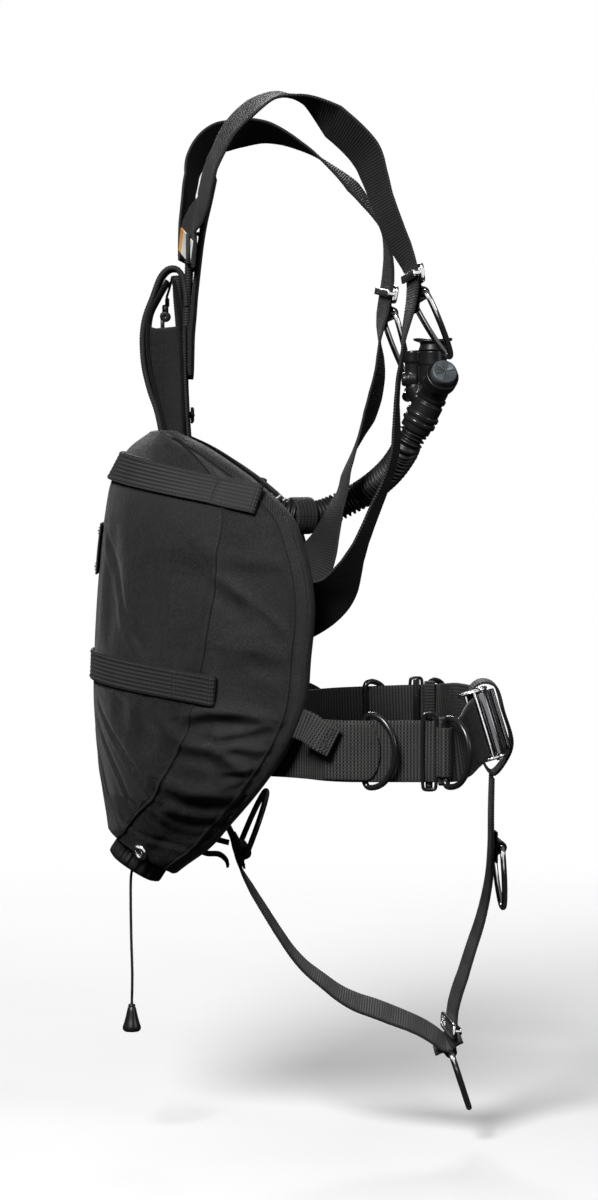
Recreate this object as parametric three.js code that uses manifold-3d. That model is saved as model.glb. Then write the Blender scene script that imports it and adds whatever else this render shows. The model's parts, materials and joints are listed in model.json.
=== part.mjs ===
// Sidemount diving harness with a rear buoyancy wing, an inflator hose and a waist and crotch belt.
// Millimetres. +X is the wearer's forward, +Y the wearer's left, +Z up.
// The origin is the centre of the lumbar plate's face against the wearer's back.

import * as THREE from "three";
import { mergeVertices } from "three/addons/utils/BufferGeometryUtils.js";
import Module from "manifold-3d";

const wasm = await Module();
wasm.setup();

// ---------------------------------------------------------------- driving dimensions

const WEB = 50; // belt and strap webbing width
const WEB_T = 2.6; // webbing thickness
const BAND_UPPER = 26;
const BAND_LOWER = 25;
const GAP = 0.4; // running gap between neighbouring pieces
const WALL = 2.6; // wing fabric wall
const BLADDER_OUT = 4.3; // bladder's outer face, in from the wing's outer face
const BLADDER_IN = 5.8;
const WIRE_R = 2.5; // ring wire radius
const BAR_GAP = 0.7; // round a ring's bar in its webbing fold
const KEEPER_WALL = 2.2;
const HOLD_OUT = WEB_T / 2 + WIRE_R + BAR_GAP + KEEPER_WALL - 1; // ring bar's centre off the strap's
const HOSE_R = 12.6;
const HOSE_BORE = 9.4;
const CORD_R = 1.25;
const BUTTON_R = 11.2;
const PLATE_T = 4;
const PAD_T = 4.6; // stiff spine pad and trim strap

// Wing outline by height: height, rear face, front edge, half width, wearer side, lip thickness.
const WING_ROWS = [
  [-116, -64, -45, 28, -56, 18],
  [-108, -83, -37, 45, -50, 18],
  [-92, -94, -18, 66, -40, 17],
  [-66, -99, 3, 96, -31, 17],
  [-34, -104, 27.5, 126, -25, 18],
  [0, -107.5, 49.5, 142, -22, 20],
  [32, -109.5, 63, 149, -22, 20],
  [75, -108.5, 68, 154, -24, 20],
  [120, -106, 71, 155, -26, 20],
  [160, -102.5, 64, 151, -28, 20],
  [190, -99, 52, 141, -30, 20],
  [215, -94, 26, 122, -32, 19],
  [233, -86, 1, 98, -36, 17],
  [246, -76, -20, 76, -42, 16],
  [256, -62, -41, 50, -50, 14],
];
const CAVITY_ROWS = [1, 13]; // first and last outline rows the cavity and the bladder reach
const BLADDER_ROWS = [1, 12];

const V = (x, y, z) => new THREE.Vector3(x, y, z);
const X = V(1, 0, 0);
const Y = V(0, 1, 0);
const Z = V(0, 0, 1);
const DOWN = V(0, 0, -1);

const VALVE_AXIS = V(-0.54, 0, -0.84).normalize();
const VALVE_SEAT = V(-67.4, 0, -100); // where the valve's axis meets the wing's cut face
const HOSE_PORT = V(0, 97, 190);
const HOSE_KEEPER_AT = V(66, 104.8, 182.8);
const HOSE_JOINT = V(164, 65, 256); // where the hose flexes

// ---------------------------------------------------------------- materials

const cloth = (hex, rough = 0.9) =>
  new THREE.MeshStandardMaterial({ color: hex, roughness: rough, metalness: 0 });
const metal = (hex, rough) =>
  new THREE.MeshStandardMaterial({ color: hex, roughness: rough, metalness: 1 });

const FABRIC = cloth(0x1b1b1c);
const WEBBING = cloth(0x161616, 0.85);
const BLADDER = cloth(0x2d3033, 0.5);
const LABEL = cloth(0xf1f0ec, 0.6);
const RUBBER = cloth(0x141414, 0.6);
const PLASTIC = cloth(0x121212, 0.4);
const BUTTON = cloth(0x53585b, 0.45);
const STEEL = metal(0xc9ccce, 0.22);
const DARK_STEEL = metal(0x55585a, 0.25);
const BLACK_STEEL = metal(0x17181a, 0.35);

// ---------------------------------------------------------------- solids

/** A closed manifold solid from any closed geometry, faces out. */
function solid(geometry) {
  const bare = new THREE.BufferGeometry();
  bare.setAttribute("position", geometry.getAttribute("position"));
  bare.setIndex(geometry.index);
  const merged = mergeVertices(bare, 1e-4);
  const tri = [];
  for (let i = 0; i < merged.index.count; i += 3) {
    const [a, b, c] = [0, 1, 2].map((k) => merged.index.getX(i + k));
    if (a !== b && b !== c && c !== a) tri.push(a, b, c);
  }
  const make = (order) =>
    new wasm.Manifold(
      new wasm.Mesh({
        numProp: 3,
        vertProperties: Float32Array.from(merged.attributes.position.array),
        triVerts: Uint32Array.from(order),
      }),
    );
  const made = make(tri);
  return made.volume() > 0 ? made : make([...tri].reverse());
}

const moved = (made, matrix) => made.transform(matrix.elements);
const at = (x, y, z) => new THREE.Matrix4().makeTranslation(x, y, z);

/** Matrix of a local frame: origin, local Z along axis, local X as near as possible to side. */
function frame(origin, axis, side = X) {
  const z = axis.clone().normalize();
  const x = side.clone().addScaledVector(z, -side.dot(z)).normalize();
  return new THREE.Matrix4().makeBasis(x, z.clone().cross(x), z).setPosition(origin);
}

const root = new THREE.Group();
root.name = "sidemount_harness";

/** Adds a named mesh holding the solid, placed by a matrix. */
function add(name, material, made, matrix = new THREE.Matrix4()) {
  const data = made.getMesh();
  const geometry = new THREE.BufferGeometry()
    .setAttribute("position", new THREE.BufferAttribute(Float32Array.from(data.vertProperties), 3))
    .setIndex(new THREE.BufferAttribute(Uint32Array.from(data.triVerts), 1))
    .toNonIndexed();
  geometry.computeVertexNormals();
  const mesh = new THREE.Mesh(geometry, material);
  mesh.name = name;
  matrix.decompose(mesh.position, mesh.quaternion, mesh.scale);
  root.add(mesh);
}

const box = (x, y, z, sx, sy, sz) => moved(solid(new THREE.BoxGeometry(sx, sy, sz)), at(x, y, z));

/** Cylinder or cone between two points. */
function rod(from, to, r, rTo = r, sides = 16) {
  const along = to.clone().sub(from);
  const turn = new THREE.Matrix4().makeRotationX(Math.PI / 2);
  const made = solid(new THREE.CylinderGeometry(rTo, r, along.length(), sides));
  const middle = from.clone().add(to).multiplyScalar(0.5);
  return moved(made, frame(middle, along, Math.abs(along.x) > along.length() * 0.9 ? Y : X).multiply(turn));
}

/** Body of revolution about local Z from [radius, height] pairs. */
function turned(profile, sides = 20) {
  const points = profile.map(([r, h]) => new THREE.Vector2(r, h));
  return moved(
    solid(new THREE.LatheGeometry(points, sides)),
    new THREE.Matrix4().makeRotationX(Math.PI / 2),
  );
}

/** Closed section [[s, t], ...] carried through stations {p, a, n}. */
function sweep(stations, section, closed = false) {
  const m = section.length;
  const positions = stations.flatMap(({ p, a, n }) =>
    section.flatMap(([s, t]) => p.clone().addScaledVector(a, s).addScaledVector(n, t).toArray()),
  );
  const index = [];
  const spans = closed ? stations.length : stations.length - 1;
  for (let i = 0; i < spans; i++) {
    const next = ((i + 1) % stations.length) * m;
    for (let j = 0; j < m; j++) {
      const k = (j + 1) % m;
      index.push(i * m + j, i * m + k, next + k, i * m + j, next + k, next + j);
    }
  }
  if (!closed) {
    const last = (stations.length - 1) * m;
    for (let j = 1; j < m - 1; j++) index.push(0, j + 1, j, last, last + j, last + j + 1);
  }
  const geometry = new THREE.BufferGeometry();
  geometry.setAttribute("position", new THREE.Float32BufferAttribute(positions, 3));
  geometry.setIndex(index);
  return solid(geometry);
}

const slab = (width, thickness) => [
  [-width / 2, -thickness / 2],
  [width / 2, -thickness / 2],
  [width / 2, thickness / 2],
  [-width / 2, thickness / 2],
];
const circle = (r, sides) =>
  Array.from({ length: sides }, (_, i) => {
    const turn = (2 * Math.PI * i) / sides;
    return [r * Math.cos(turn), r * Math.sin(turn)];
  });

/** Stations along a smooth curve; across(tangent, share) gives the section's width direction. */
function along(points, across, steps, closed = false) {
  const curve = new THREE.CatmullRomCurve3(points, closed, "centripetal");
  const count = closed ? steps : steps + 1;
  return Array.from({ length: count }, (_, i) => {
    const share = i / steps;
    const t = curve.getTangent(share);
    const wanted = across(t, share);
    const a = wanted.clone().addScaledVector(t, -wanted.dot(t)).normalize();
    return { p: curve.getPoint(share), a, n: t.clone().cross(a) };
  });
}

/** Value at a share of the way through a list, between neighbours. */
function between(values, share) {
  const place = Math.min(share * (values.length - 1), values.length - 1.0001);
  const i = Math.floor(place);
  return values[i] + (values[i + 1] - values[i]) * (place - i);
}

/** Webbing with a width direction that is the same, or mixed, between two ends. */
function webbing(points, acrossFrom, acrossTo = acrossFrom, width = WEB, steps = 2 * points.length) {
  const across = (_, share) => acrossFrom.clone().lerp(acrossTo, share);
  return sweep(along(points, across, steps), slab(width, WEB_T));
}

/** Adds a webbing fold round a ring's bar to a strap and bores it for the bar. */
function withKeeper(strap, centre, axis, length) {
  const reach = (half) => axis.clone().normalize().multiplyScalar(half);
  const tube = (half, r) => rod(centre.clone().sub(reach(half)), centre.clone().add(reach(half)), r);
  const bore = WIRE_R + BAR_GAP;
  return strap.add(tube(length / 2, bore + KEEPER_WALL)).subtract(tube(length, bore));
}

/** Where a ring's bar sits: off the strap, towards a side, at the station nearest a point. */
function holdOn(stations, near, towards) {
  const { p, n } = nearest(stations, near);
  return p.clone().addScaledVector(n, HOLD_OUT * Math.sign(n.dot(towards)));
}

// ---------------------------------------------------------------- rings and sliders

/** Wire ring in a local frame: bar along X at the origin, reaching along +Z. */
function ring(halfOutline) {
  const bar = [-0.84, -0.4, 0.4, 0.84].map((share) => V(share * halfOutline[0][0], 0, 0));
  const right = halfOutline.map(([x, z]) => V(x, 0, z));
  const left = halfOutline.filter(([x]) => x > 0).map(([x, z]) => V(-x, 0, z)).reverse();
  const points = [...bar, ...right, ...left];
  return sweep(along(points, () => Y, 20, true), circle(WIRE_R, 6), true);
}
const D_RING = [[27, 3], [27, 10], [23.5, 18], [14, 25.5], [0, 28.5]];
const SIDE_RING = [[28.8, 3], [28.8, 10], [24.8, 18], [14.6, 25.5], [0, 28.5]];
const LONG_RING = [[28, 3], [28, 12], [25.5, 26], [18, 42], [9, 51], [0, 53.5]];
const CHEST_RING = [[28, 3], [28, 13], [23, 30], [15, 45], [7, 53.5], [0, 55.5]];

/** Strap adjuster in a local frame: X across the strap, Y out of it, Z along it. */
function slider(length, bar = 3) {
  const half = WEB / 2;
  const out = WEB_T / 2 + GAP + bar / 2;
  const wide = WEB + 12;
  return box(0, out, length / 2 - bar / 2, wide, bar, bar)
    .add(box(0, out, -length / 2 + bar / 2, wide, bar, bar))
    .add(box(half + 3.5, out, 0, 5, bar, length))
    .add(box(-half - 3.5, out, 0, 5, bar, length))
    .add(box(0, -out, 0, wide, bar * 0.8, bar * 1.3))
    .add(box(half + 3.5, 0, 0, 5, 2 * out + bar * 0.8, bar * 1.3))
    .add(box(-half - 3.5, 0, 0, 5, 2 * out + bar * 0.8, bar * 1.3));
}

// ---------------------------------------------------------------- wing

/** Horizontal outline of the wing at one row, drawn in by inset. */
function wingSection([, rear, edge, half, inner, lip], inset) {
  const OUTER = 12;
  const INNER = 7;
  const arc = (n, deep, wide) =>
    Array.from({ length: n + 1 }, (_, i) => {
      const t = (i / n - 0.5) * Math.PI;
      return [edge - deep * Math.cos(t), wide * Math.sin(t)];
    });
  const nose = edge + 7 - inset;
  const outer = arc(OUTER, edge - rear - inset, half - inset);
  const hollow = arc(INNER, edge - inner + inset, half - lip + inset).reverse();
  return [...outer, [nose, half - lip / 2], ...hollow, [nose, lip / 2 - half]];
}

/** The wing drawn in by a skin thickness, between two of its rows. */
function wingBody(inset, first = 0, last = WING_ROWS.length - 1) {
  const rows = WING_ROWS.slice(first, last + 1).map((row, i) => {
    const [below, above] = [-1, 1].map((k) => WING_ROWS[first + i + k] ?? row);
    const slope = (above[3] - below[3]) / (above[0] - below[0]);
    const drawn = Math.min(inset * Math.hypot(1, slope), row[5] / 2 - 0.6);
    return { z: row[0], outline: wingSection(row, drawn) };
  });
  const m = rows[0].outline.length;
  const positions = rows.flatMap(({ z, outline }) => outline.flatMap(([x, y]) => [x, y, z]));
  const index = [];
  for (let i = 0; i < rows.length - 1; i++)
    for (let j = 0; j < m; j++) {
      const k = (j + 1) % m;
      const [a, b, c, d] = [i * m + j, i * m + k, (i + 1) * m + k, (i + 1) * m + j];
      index.push(a, b, c, a, c, d);
    }
  for (const [row, flip] of [[0, true], [rows.length - 1, false]]) {
    const shape = rows[row].outline.map(([x, y]) => new THREE.Vector2(x, y));
    for (const [a, b, c] of THREE.ShapeUtils.triangulateShape(shape, []))
      index.push(row * m + a, row * m + (flip ? b : c), row * m + (flip ? c : b));
  }
  const geometry = new THREE.BufferGeometry();
  geometry.setAttribute("position", new THREE.Float32BufferAttribute(positions, 3));
  geometry.setIndex(index);
  return solid(geometry);
}

const valveFrame = frame(VALVE_SEAT, VALVE_AXIS, Y);
const inValve = (made) => moved(made, valveFrame);

/** Everything beyond the flat the dump valve is clamped to. */
const beyondValve = (height) => inValve(box(0, 0, height + 60, 200, 200, 120));

function wing() {
  const portFrom = HOSE_PORT.clone().add(V(-16, 0, 0));
  const ports = inValve(rod(V(0, 0, -30), V(0, 0, 20), 15.4, 15.4, 24)).add(
    rod(portFrom, HOSE_PORT.clone().add(V(60, 0, 0)), 14.4),
  );
  const cut = (body, height) => body.subtract(beyondValve(height));
  const cavity = cut(wingBody(WALL, ...CAVITY_ROWS), -GAP - WALL);
  add("wing_shell", FABRIC, cut(wingBody(0), -GAP).subtract(cavity).subtract(ports));
  const air = cut(wingBody(BLADDER_IN, ...BLADDER_ROWS), -GAP - BLADDER_IN);
  const skin = cut(wingBody(BLADDER_OUT, ...BLADDER_ROWS), -GAP - BLADDER_OUT);
  add("inner_bladder", BLADDER, skin.subtract(air).subtract(ports));
}

/** Point of the wing's outer face at a height, t degrees round from the back, lifted off it. */
function onWing(z, degrees, lift) {
  const i = Math.min(WING_ROWS.findLastIndex((row) => row[0] <= z), WING_ROWS.length - 2);
  const [low, high] = [WING_ROWS[i], WING_ROWS[i + 1]];
  const share = (z - low[0]) / (high[0] - low[0]);
  const [rear, edge, half] = [1, 2, 3].map((k) => low[k] + (high[k] - low[k]) * share);
  const t = degrees * THREE.MathUtils.DEG2RAD;
  return V(edge - (edge - rear + lift) * Math.cos(t), (half + lift) * Math.sin(t), z);
}

/** Band of webbing round the back of the wing, lower at its ends than at the back. */
function wingBand(width, zBack, zEnd, degrees, lift) {
  const STEPS = 16;
  const stations = Array.from({ length: STEPS + 1 }, (_, i) => {
    const share = (2 * i) / STEPS - 1;
    const height = (s) => zBack + (zEnd - zBack) * s * s;
    const point = (s, up) => onWing(height(s) + up, s * degrees, lift);
    const t = point(share + 0.02, 0).sub(point(share - 0.02, 0)).normalize();
    const up = point(share, 7).sub(point(share, -7));
    const a = up.addScaledVector(t, -up.dot(t)).normalize();
    return { p: point(share, 0), a, n: t.clone().cross(a) };
  });
  return sweep(stations, slab(width, WEB_T));
}

function wingFittings() {
  add("wing_band_upper", WEBBING, wingBand(BAND_UPPER, 226, 204, 78, 3));
  add("wing_band_lower", WEBBING, wingBand(BAND_LOWER, 61, 48, 66, 2.2));
  const keeper = [V(-102.2, 0, 180), V(-104.7, 0, 158), V(-106.4, 0, 137)];
  add("rear_keeper", WEBBING, webbing(keeper, Y));
  for (const [side, s] of [["right", -1], ["left", 1]]) {
    const run = [
      V(64.5, s * 150.5, 22.5), V(73, s * 152, 19), V(83, s * 157.4, 12.5), V(93, s * 158.6, 7.5),
    ];
    add(`wing_tie_${side}`, WEBBING, webbing(run, V(0.42, 0, 0.9), V(0.42, 0, 0.9), BAND_LOWER));
    const eyelet = onWing(-95, s * 50, 3);
    const out = eyelet.clone().sub(V(-30, 0, -70)).normalize();
    const profile = [[3, -0.6], [7, -0.6], [6.4, 0.9], [3.6, 0.9], [3, -0.6]];
    add(`eyelet_${side}`, STEEL, turned(profile, 12), frame(eyelet, out, Y));
  }
}

// ---------------------------------------------------------------- dump valve

function dumpValve() {
  const seat = turned([[9, -12], [14.8, -12], [14.8, 0.2], [23.6, 0.2], [23.6, 2], [9, 2], [9, -12]], 24);
  add("valve_seat", PLASTIC, seat, valveFrame);

  const RIBS = 15;
  const rim = new THREE.Shape(
    Array.from({ length: 2 * RIBS }, (_, i) => {
      const r = i % 2 ? 25.6 : 24.2;
      const turn = (Math.PI * i) / RIBS;
      return new THREE.Vector2(r * Math.cos(turn), r * Math.sin(turn));
    }),
  );
  const body = solid(new THREE.ExtrudeGeometry(rim, { depth: 13, bevelEnabled: false }));
  let cap = moved(body, at(0, 0, 2.4)).add(rod(V(0, 0, 15.3), V(0, 0, 17.5), 23, 20, 24));
  cap = cap.subtract(rod(V(0, 0, 2), V(0, 0, 14), 21, 21, 24)).subtract(rod(V(0, 0, 10), V(0, 0, 20), 2.6));
  const VENTS = 4;
  for (let i = 0; i < VENTS; i++) {
    const turn = (2 * Math.PI * (i + 0.5)) / VENTS;
    const [x, y] = [13 * Math.cos(turn), 13 * Math.sin(turn)];
    cap = cap.subtract(rod(V(x, y, 12), V(x, y, 20), 2.6, 2.6, 8));
  }
  add("valve_cap", PLASTIC, cap, valveFrame);

  const plunger = [[0, 2.4], [17, 2.4], [17, 4.2], [1.9, 5], [1.9, 15], [0, 15]];
  add("valve_plunger", RUBBER, turned(plunger, 20), valveFrame);
  add("valve_spring", STEEL, coil(8, 0.7, 5.9, 13.2, 3), valveFrame);

  const cordTop = VALVE_SEAT.clone().addScaledVector(VALVE_AXIS, 17.5).add(V(-2.6, 0, -1.6));
  const cordEnd = V(cordTop.x + 1.5, 0, -231);
  add("pull_cord", RUBBER, rod(cordTop, cordEnd, CORD_R, CORD_R, 8));
  const knob = [
    [0, -0.4], [2.6, -0.4], [3.2, -3], [4.4, -9], [7.2, -17], [8, -20.5], [7, -23.5], [0, -24.2],
  ];
  add("pull_knob", PLASTIC, turned(knob.reverse(), 16), at(cordEnd.x, 0, cordEnd.z));
}

/** Compression spring about local Z. */
function coil(radius, wire, from, to, turns) {
  const EACH = 9; // stations to a turn
  const steps = turns * EACH;
  const stations = Array.from({ length: steps + 1 }, (_, i) => {
    const turn = (2 * Math.PI * i) / EACH;
    const out = V(Math.cos(turn), Math.sin(turn), 0);
    const height = from + wire + ((to - from - 2 * wire) * i) / steps;
    return { p: V(0, 0, height).addScaledVector(out, radius), a: out, n: Z };
  });
  return sweep(stations, circle(wire, 4));
}

// ---------------------------------------------------------------- hose and inflator

function hose() {
  const origin = HOSE_PORT;
  const inPort = (x) => origin.clone().add(V(x, 0, 0));
  const port = rod(inPort(-10), inPort(36), 12.8).add(rod(inPort(30), inPort(36), 13.8));
  add("hose_port", PLASTIC, port.subtract(rod(inPort(-12), inPort(40), 9.8)));

  const up = BARREL_UP;
  const path = [
    inPort(37), inPort(42), V(52, 98.5, 186), HOSE_KEEPER_AT, V(85, 115, 184.5), V(101, 120.5, 191),
    V(120, 117, 201.5), V(132.5, 105, 210.5), V(146.5, 87.5, 224.5), V(156, 74, 239),
    HOSE_JOINT.clone().addScaledVector(up, -12), HOSE_JOINT.clone().addScaledVector(up, -2.2),
  ];
  const tube = along(path, () => V(-0.5, 0.2, 1), 18);
  const bore = [shifted(tube[0], tube[1]), ...tube.slice(1, -1), shifted(tube.at(-1), tube.at(-2))];
  const SIDES = 10;
  const hollow = sweep(tube, circle(HOSE_R, SIDES)).subtract(sweep(bore, circle(HOSE_BORE, SIDES)));
  add("hose_lower", RUBBER, hollow);

  const onBarrel = (d) => HOSE_JOINT.clone().addScaledVector(up, d);
  const stub = rod(onBarrel(2.2), onBarrel(8.6), HOSE_R, HOSE_R, 12);
  add("hose_upper", RUBBER, stub.subtract(rod(onBarrel(-4), onBarrel(12), HOSE_BORE, HOSE_BORE, 12)));

  const clamp = [[10, 0], [15, 0], [15, 4], [13.9, 5.4], [15, 6.8], [15, 10.8], [10, 10.8], [10, 0]];
  add("hose_clamp", BLACK_STEEL, turned(clamp, 16), frame(onBarrel(9), up));

  const round = frame(HOSE_KEEPER_AT, V(1, 0.5, 0));
  const band = [[14, -4.5], [16.2, -4.5], [16.2, 4.5], [14, 4.5], [14, -4.5]];
  add("hose_keeper", WEBBING, turned(band, 16), round);
}

/** Point at an offset from the hose joint. */
function fromJoint(x, y, z) {
  return HOSE_JOINT.clone().add(V(x, y, z));
}

/** A station carried 1 mm further away from its neighbour. */
function shifted(station, neighbour) {
  const away = station.p.clone().sub(neighbour.p).setLength(1);
  return { ...station, p: station.p.clone().add(away) };
}

const BARREL_UP = V(0.45, -0.2, 0.87).normalize();
const BARREL_FOOT = HOSE_JOINT.clone().addScaledVector(BARREL_UP, 20.2);
const BUTTON_AXIS = V(0.25, -0.84, 0.48).normalize();
const BUTTON_FACE = fromJoint(25.9, -38, 52.7);
const MOUTH_BASE = fromJoint(16.5, -8, 70.5);
const INFLATE_AT = fromJoint(-6.5, -1, 46);
const NIPPLE_AXIS = V(-0.25, 0.9, -0.35).normalize();
const NIPPLE_BASE = fromJoint(1, -1.6, 39).addScaledVector(NIPPLE_AXIS, 9.6);

function inflator() {
  const head = BARREL_FOOT.clone().addScaledVector(BARREL_UP, 22);
  const deep = (d) => BUTTON_FACE.clone().addScaledVector(BUTTON_AXIS, d);
  const up = (d) => BARREL_FOOT.clone().addScaledVector(BARREL_UP, d);
  const barrel = rod(up(0), up(10), 13.4).add(rod(up(9), head, 11.6)).add(rod(up(13), up(16.5), 13));
  const housing = rod(deep(-40), deep(-8.5), 12.6).add(rod(deep(-18), deep(-7.6), 14.6, 14.6, 20));
  const neck = rod(fromJoint(16.5, -8, 40), MOUTH_BASE.clone().add(V(0, 0, -GAP)), 11.6, 12);
  const feedFoot = rod(fromJoint(8, -3, 24), fromJoint(0, -1, 40), 7.4, 7.4, 12);
  const feed = feedFoot.add(rod(fromJoint(0, -1, 38), fromJoint(-0.5, -1, 70), 7, 7, 12));
  const bridge = rod(fromJoint(-0.5, -1, 65), fromJoint(16, -6, 65), 5.4, 5.4, 10);
  const boss = rod(fromJoint(1, -1, 46), INFLATE_AT.clone().add(V(0.6, 0, 0)), 8.2, 8.2, 12);
  let body = barrel.add(housing).add(neck).add(feed).add(bridge).add(boss);
  body = body
    .subtract(rod(deep(-22), deep(2), BUTTON_R + GAP, BUTTON_R + GAP, 20))
    .subtract(rod(INFLATE_AT.clone().add(V(5, 0, 0)), INFLATE_AT.clone().add(V(-4, 0, 0)), 6.4, 6.4, 12));
  add("inflator_body", PLASTIC, body);

  const lip = turned([[0, -1.5], [1, -1.5], [1, 1.5], [0, 1.5]]);
  const mouth = moved(lip, at(0, 0, 9).scale(V(17, 13, 1)))
    .add(turned([[0, 0], [12.4, 0], [11, 4.5], [12.5, 9], [0, 9]], 16))
    .subtract(rod(V(0, 0, 3), V(0, 0, 14), 7.6, 9, 12));
  add("mouthpiece", RUBBER, mouth, frame(MOUTH_BASE, Z));

  const press = frame(BUTTON_FACE, BUTTON_AXIS);
  add("deflate_button", BUTTON, deflateButton(), press);
  add("deflate_spring", STEEL, coil(7, 0.7, -21.4, -11.4, 3), press);
  const thumb = turned([[0, 0], [6, 0], [6, 4.6], [4.8, 6], [0, 6]], 12);
  add("inflate_button", BLACK_STEEL, thumb, frame(INFLATE_AT.clone().add(V(2.6, 0, 0)), V(-1, 0, 0), Y));
  const nipple = [[0, 0], [6, 0], [6, 3], [3.6, 4], [3.6, 9], [4.8, 10], [4.8, 14], [0, 14]];
  add("inlet_nipple", STEEL, turned(nipple, 12), frame(NIPPLE_BASE, NIPPLE_AXIS));
}

/** Round button with six raised spokes on its face. */
function deflateButton() {
  const BODY = [[0, -11], [BUTTON_R, -11], [BUTTON_R, -1], [BUTTON_R - 1, 0], [0, 0]];
  let made = turned(BODY, 24);
  for (let i = 0; i < 6; i++) {
    const turn = new THREE.Matrix4().makeRotationZ((Math.PI * i) / 3 + 0.3);
    made = made.add(moved(box(5, 0, 0, 7.4, 1.1, 1.4), turn));
  }
  return made;
}

// ---------------------------------------------------------------- shoulder harness

/**
 * Shoulder strap from [x, y, z, lean] rows, back to front. The lean, in degrees, lifts the edge
 * nearest the neck away from the wearer; a negative lean drops it towards them.
 */
function leaningStrap(rows, neckwards) {
  const points = rows.map(([x, y, z]) => V(x, y, z));
  const leans = rows.map((row) => row[3]);
  const across = (t, share) => {
    const lean = between(leans, share) * THREE.MathUtils.DEG2RAD;
    const out = V(-t.z, 0, t.x).normalize();
    return V(0, neckwards * Math.cos(lean), 0).addScaledVector(out, Math.sin(lean));
  };
  return along(points, across, rows.length - 1);
}

/** The station of a path nearest a point. */
function nearest(stations, point) {
  const gap = ({ p }) => p.distanceTo(point);
  return stations.reduce((best, station) => (gap(station) < gap(best) ? station : best));
}

const RIGHT_STRAP = [
  [-28.6, -33.5, 400, 17], [-27.3, -37.2, 412, 17], [-25.5, -41.5, 424, 17], [-22.3, -46, 433, 16],
  [-17.5, -52, 441, 15], [-13.9, -58, 450, 14], [-8.8, -68, 468, 13], [-4.3, -74, 481, 13],
  [9, -82, 505.5, 17],
  [24.7, -86, 520.5, 19], [45, -90, 530.4, 12], [66, -94, 527.5, 0], [92.8, -98, 509.5, -28],
  [119, -100, 483.4, -28], [126.5, -100.5, 465, -23], [132.5, -101, 446.6, -19], [141.4, -101.5, 422, -19],
  [149, -102, 405.7, -16], [154.5, -102.5, 393.4, -11], [157.3, -103, 384, -8], [157.2, -103.5, 368.5, -7],
  [155.4, -104, 356, -6], [152.5, -106, 342, -3], [150, -108, 328, 1], [148.2, -110, 312.7, 4],
  [145.8, -113, 298, 4], [144.8, -116, 284.5, 4], [144.4, -119, 270, 6], [144, -121, 255, 8],
  [142.8, -123, 241, 8], [139.1, -125, 226, 8], [133.6, -127, 211, 9], [127.3, -128, 196.5, 11],
  [121.3, -129, 182, 12], [115, -128, 167, 14], [108.2, -126, 152.6, 20], [97.2, -121, 132.5, 37],
  [83.6, -112, 120, 53], [62, -94, 108, 70], [30, -62, 98, 84], [2, -34, 95, 90], [-9.6, -13, 94, 90],
];
const LEFT_STRAP = [
  [-31, 42, 400, 14], [-31, 43.5, 414, 14], [-30.8, 46, 430, 14], [-30, 50, 450, 11], [-28.8, 56, 469, 9],
  [-26, 62, 486, 14], [-19, 68, 499, 19], [-7, 76, 509, 23], [8, 82, 514, 24], [20, 85, 516, 23],
  [35.5, 88, 516, 17], [51.9, 90.5, 511.5, 9], [66, 92, 505, 3], [79.1, 93, 497.5, -2],
  [98.3, 93.5, 482.5, -9],
  [111.8, 94, 470, -15], [123.7, 94, 455.3, -11], [133, 94, 441, -5], [139.2, 94, 428, 0],
  [142.3, 94, 413, 5],
  [143, 94, 400, 8], [142.4, 94.5, 387, 10], [140.9, 95, 378, 10], [137.9, 96, 359.5, 9],
  [136.2, 96.5, 348, 5], [135.6, 97, 337.8, 0], [136.1, 97, 322, -7], [135.4, 97, 306, -11],
  [131.8, 96, 288, -14], [126.3, 95, 270, -13], [119.2, 93, 254.5, -6], [112.3, 88, 238.7, 0],
  [106.7, 82, 223, 5], [102.8, 77, 206.7, 7], [97, 73, 190.9, 13], [88.5, 70, 167.2, 24], [80, 66, 150, 38],
  [66, 58, 133, 60], [42, 46, 116, 80], [12, 30, 104, 90], [-9.6, 13, 102, 90],
];

function shoulderHarness() {
  const rear = chestSide("right", RIGHT_STRAP, 1, {
    slider: V(157.3, -103, 384), hold: V(157.2, -103.5, 368.5), bar: V(-0.2, 0.98, 0), hang: V(0.45, 0, -0.89),
  });
  chestSide("left", LEFT_STRAP, -1, {
    slider: V(140.9, 95, 378), hold: V(137.9, 96, 359.5), bar: V(0.17, -0.985, 0), hang: V(0.3, 0, -0.95),
  });

  const pad = [
    V(-6.6, 0, 471), V(-10.6, 0, 452), V(-14.4, 0, 436), V(-17.4, 0, 419), V(-19.6, 0, 402),
    V(-21.5, 0, 385),
    V(-23, 0, 371), V(-24.2, 0, 355), V(-25.6, 0, 339), V(-26.2, 0, 320), V(-26.6, 0, 301),
  ];
  add("shoulder_plate", FABRIC, sweep(along(pad, () => Y, pad.length - 1), slab(WEB, PAD_T)));
  const { p, a, n } = nearest(rear, V(-27.3, -37.2, 412));
  const back = n.clone().multiplyScalar(-Math.sign(n.x));
  const labelAt = p.clone().addScaledVector(back, WEB_T / 2 + 1.4);
  add("label_patch", LABEL, box(0, 0, 0, 40, 20, 0.8), frame(labelAt, back, a));

  const spine = webbing(
    [
      V(-31.2, 0, 346), V(-30.8, 0, 322), V(-30.4, 0, 298), V(-29.4, 0, 275), V(-28.2, 0, 256),
      V(-23.5, 0, 195),
      V(-17.5, 0, 130), V(-13.5, 0, 70), V(-11.5, 0, 20), V(-11.5, 0, -18),
    ],
    Y,
  );
  const screw = V(-29.2, 0, 271);
  const through = (x) => screw.clone().add(V(x, 0, 0));
  add("spine_strap", WEBBING, spine.subtract(rod(through(-8), through(8), 3.4)));
  const profile = [
    [0, -2.7], [6.5, -2.7], [6.5, -1.7], [3, -1.7], [3, 2.6], [7.2, 2.6], [6.4, 5], [0, 5.4],
  ];
  add("book_screw", BLACK_STEEL, turned(profile, 16), frame(screw, X, Y));
}

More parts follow.
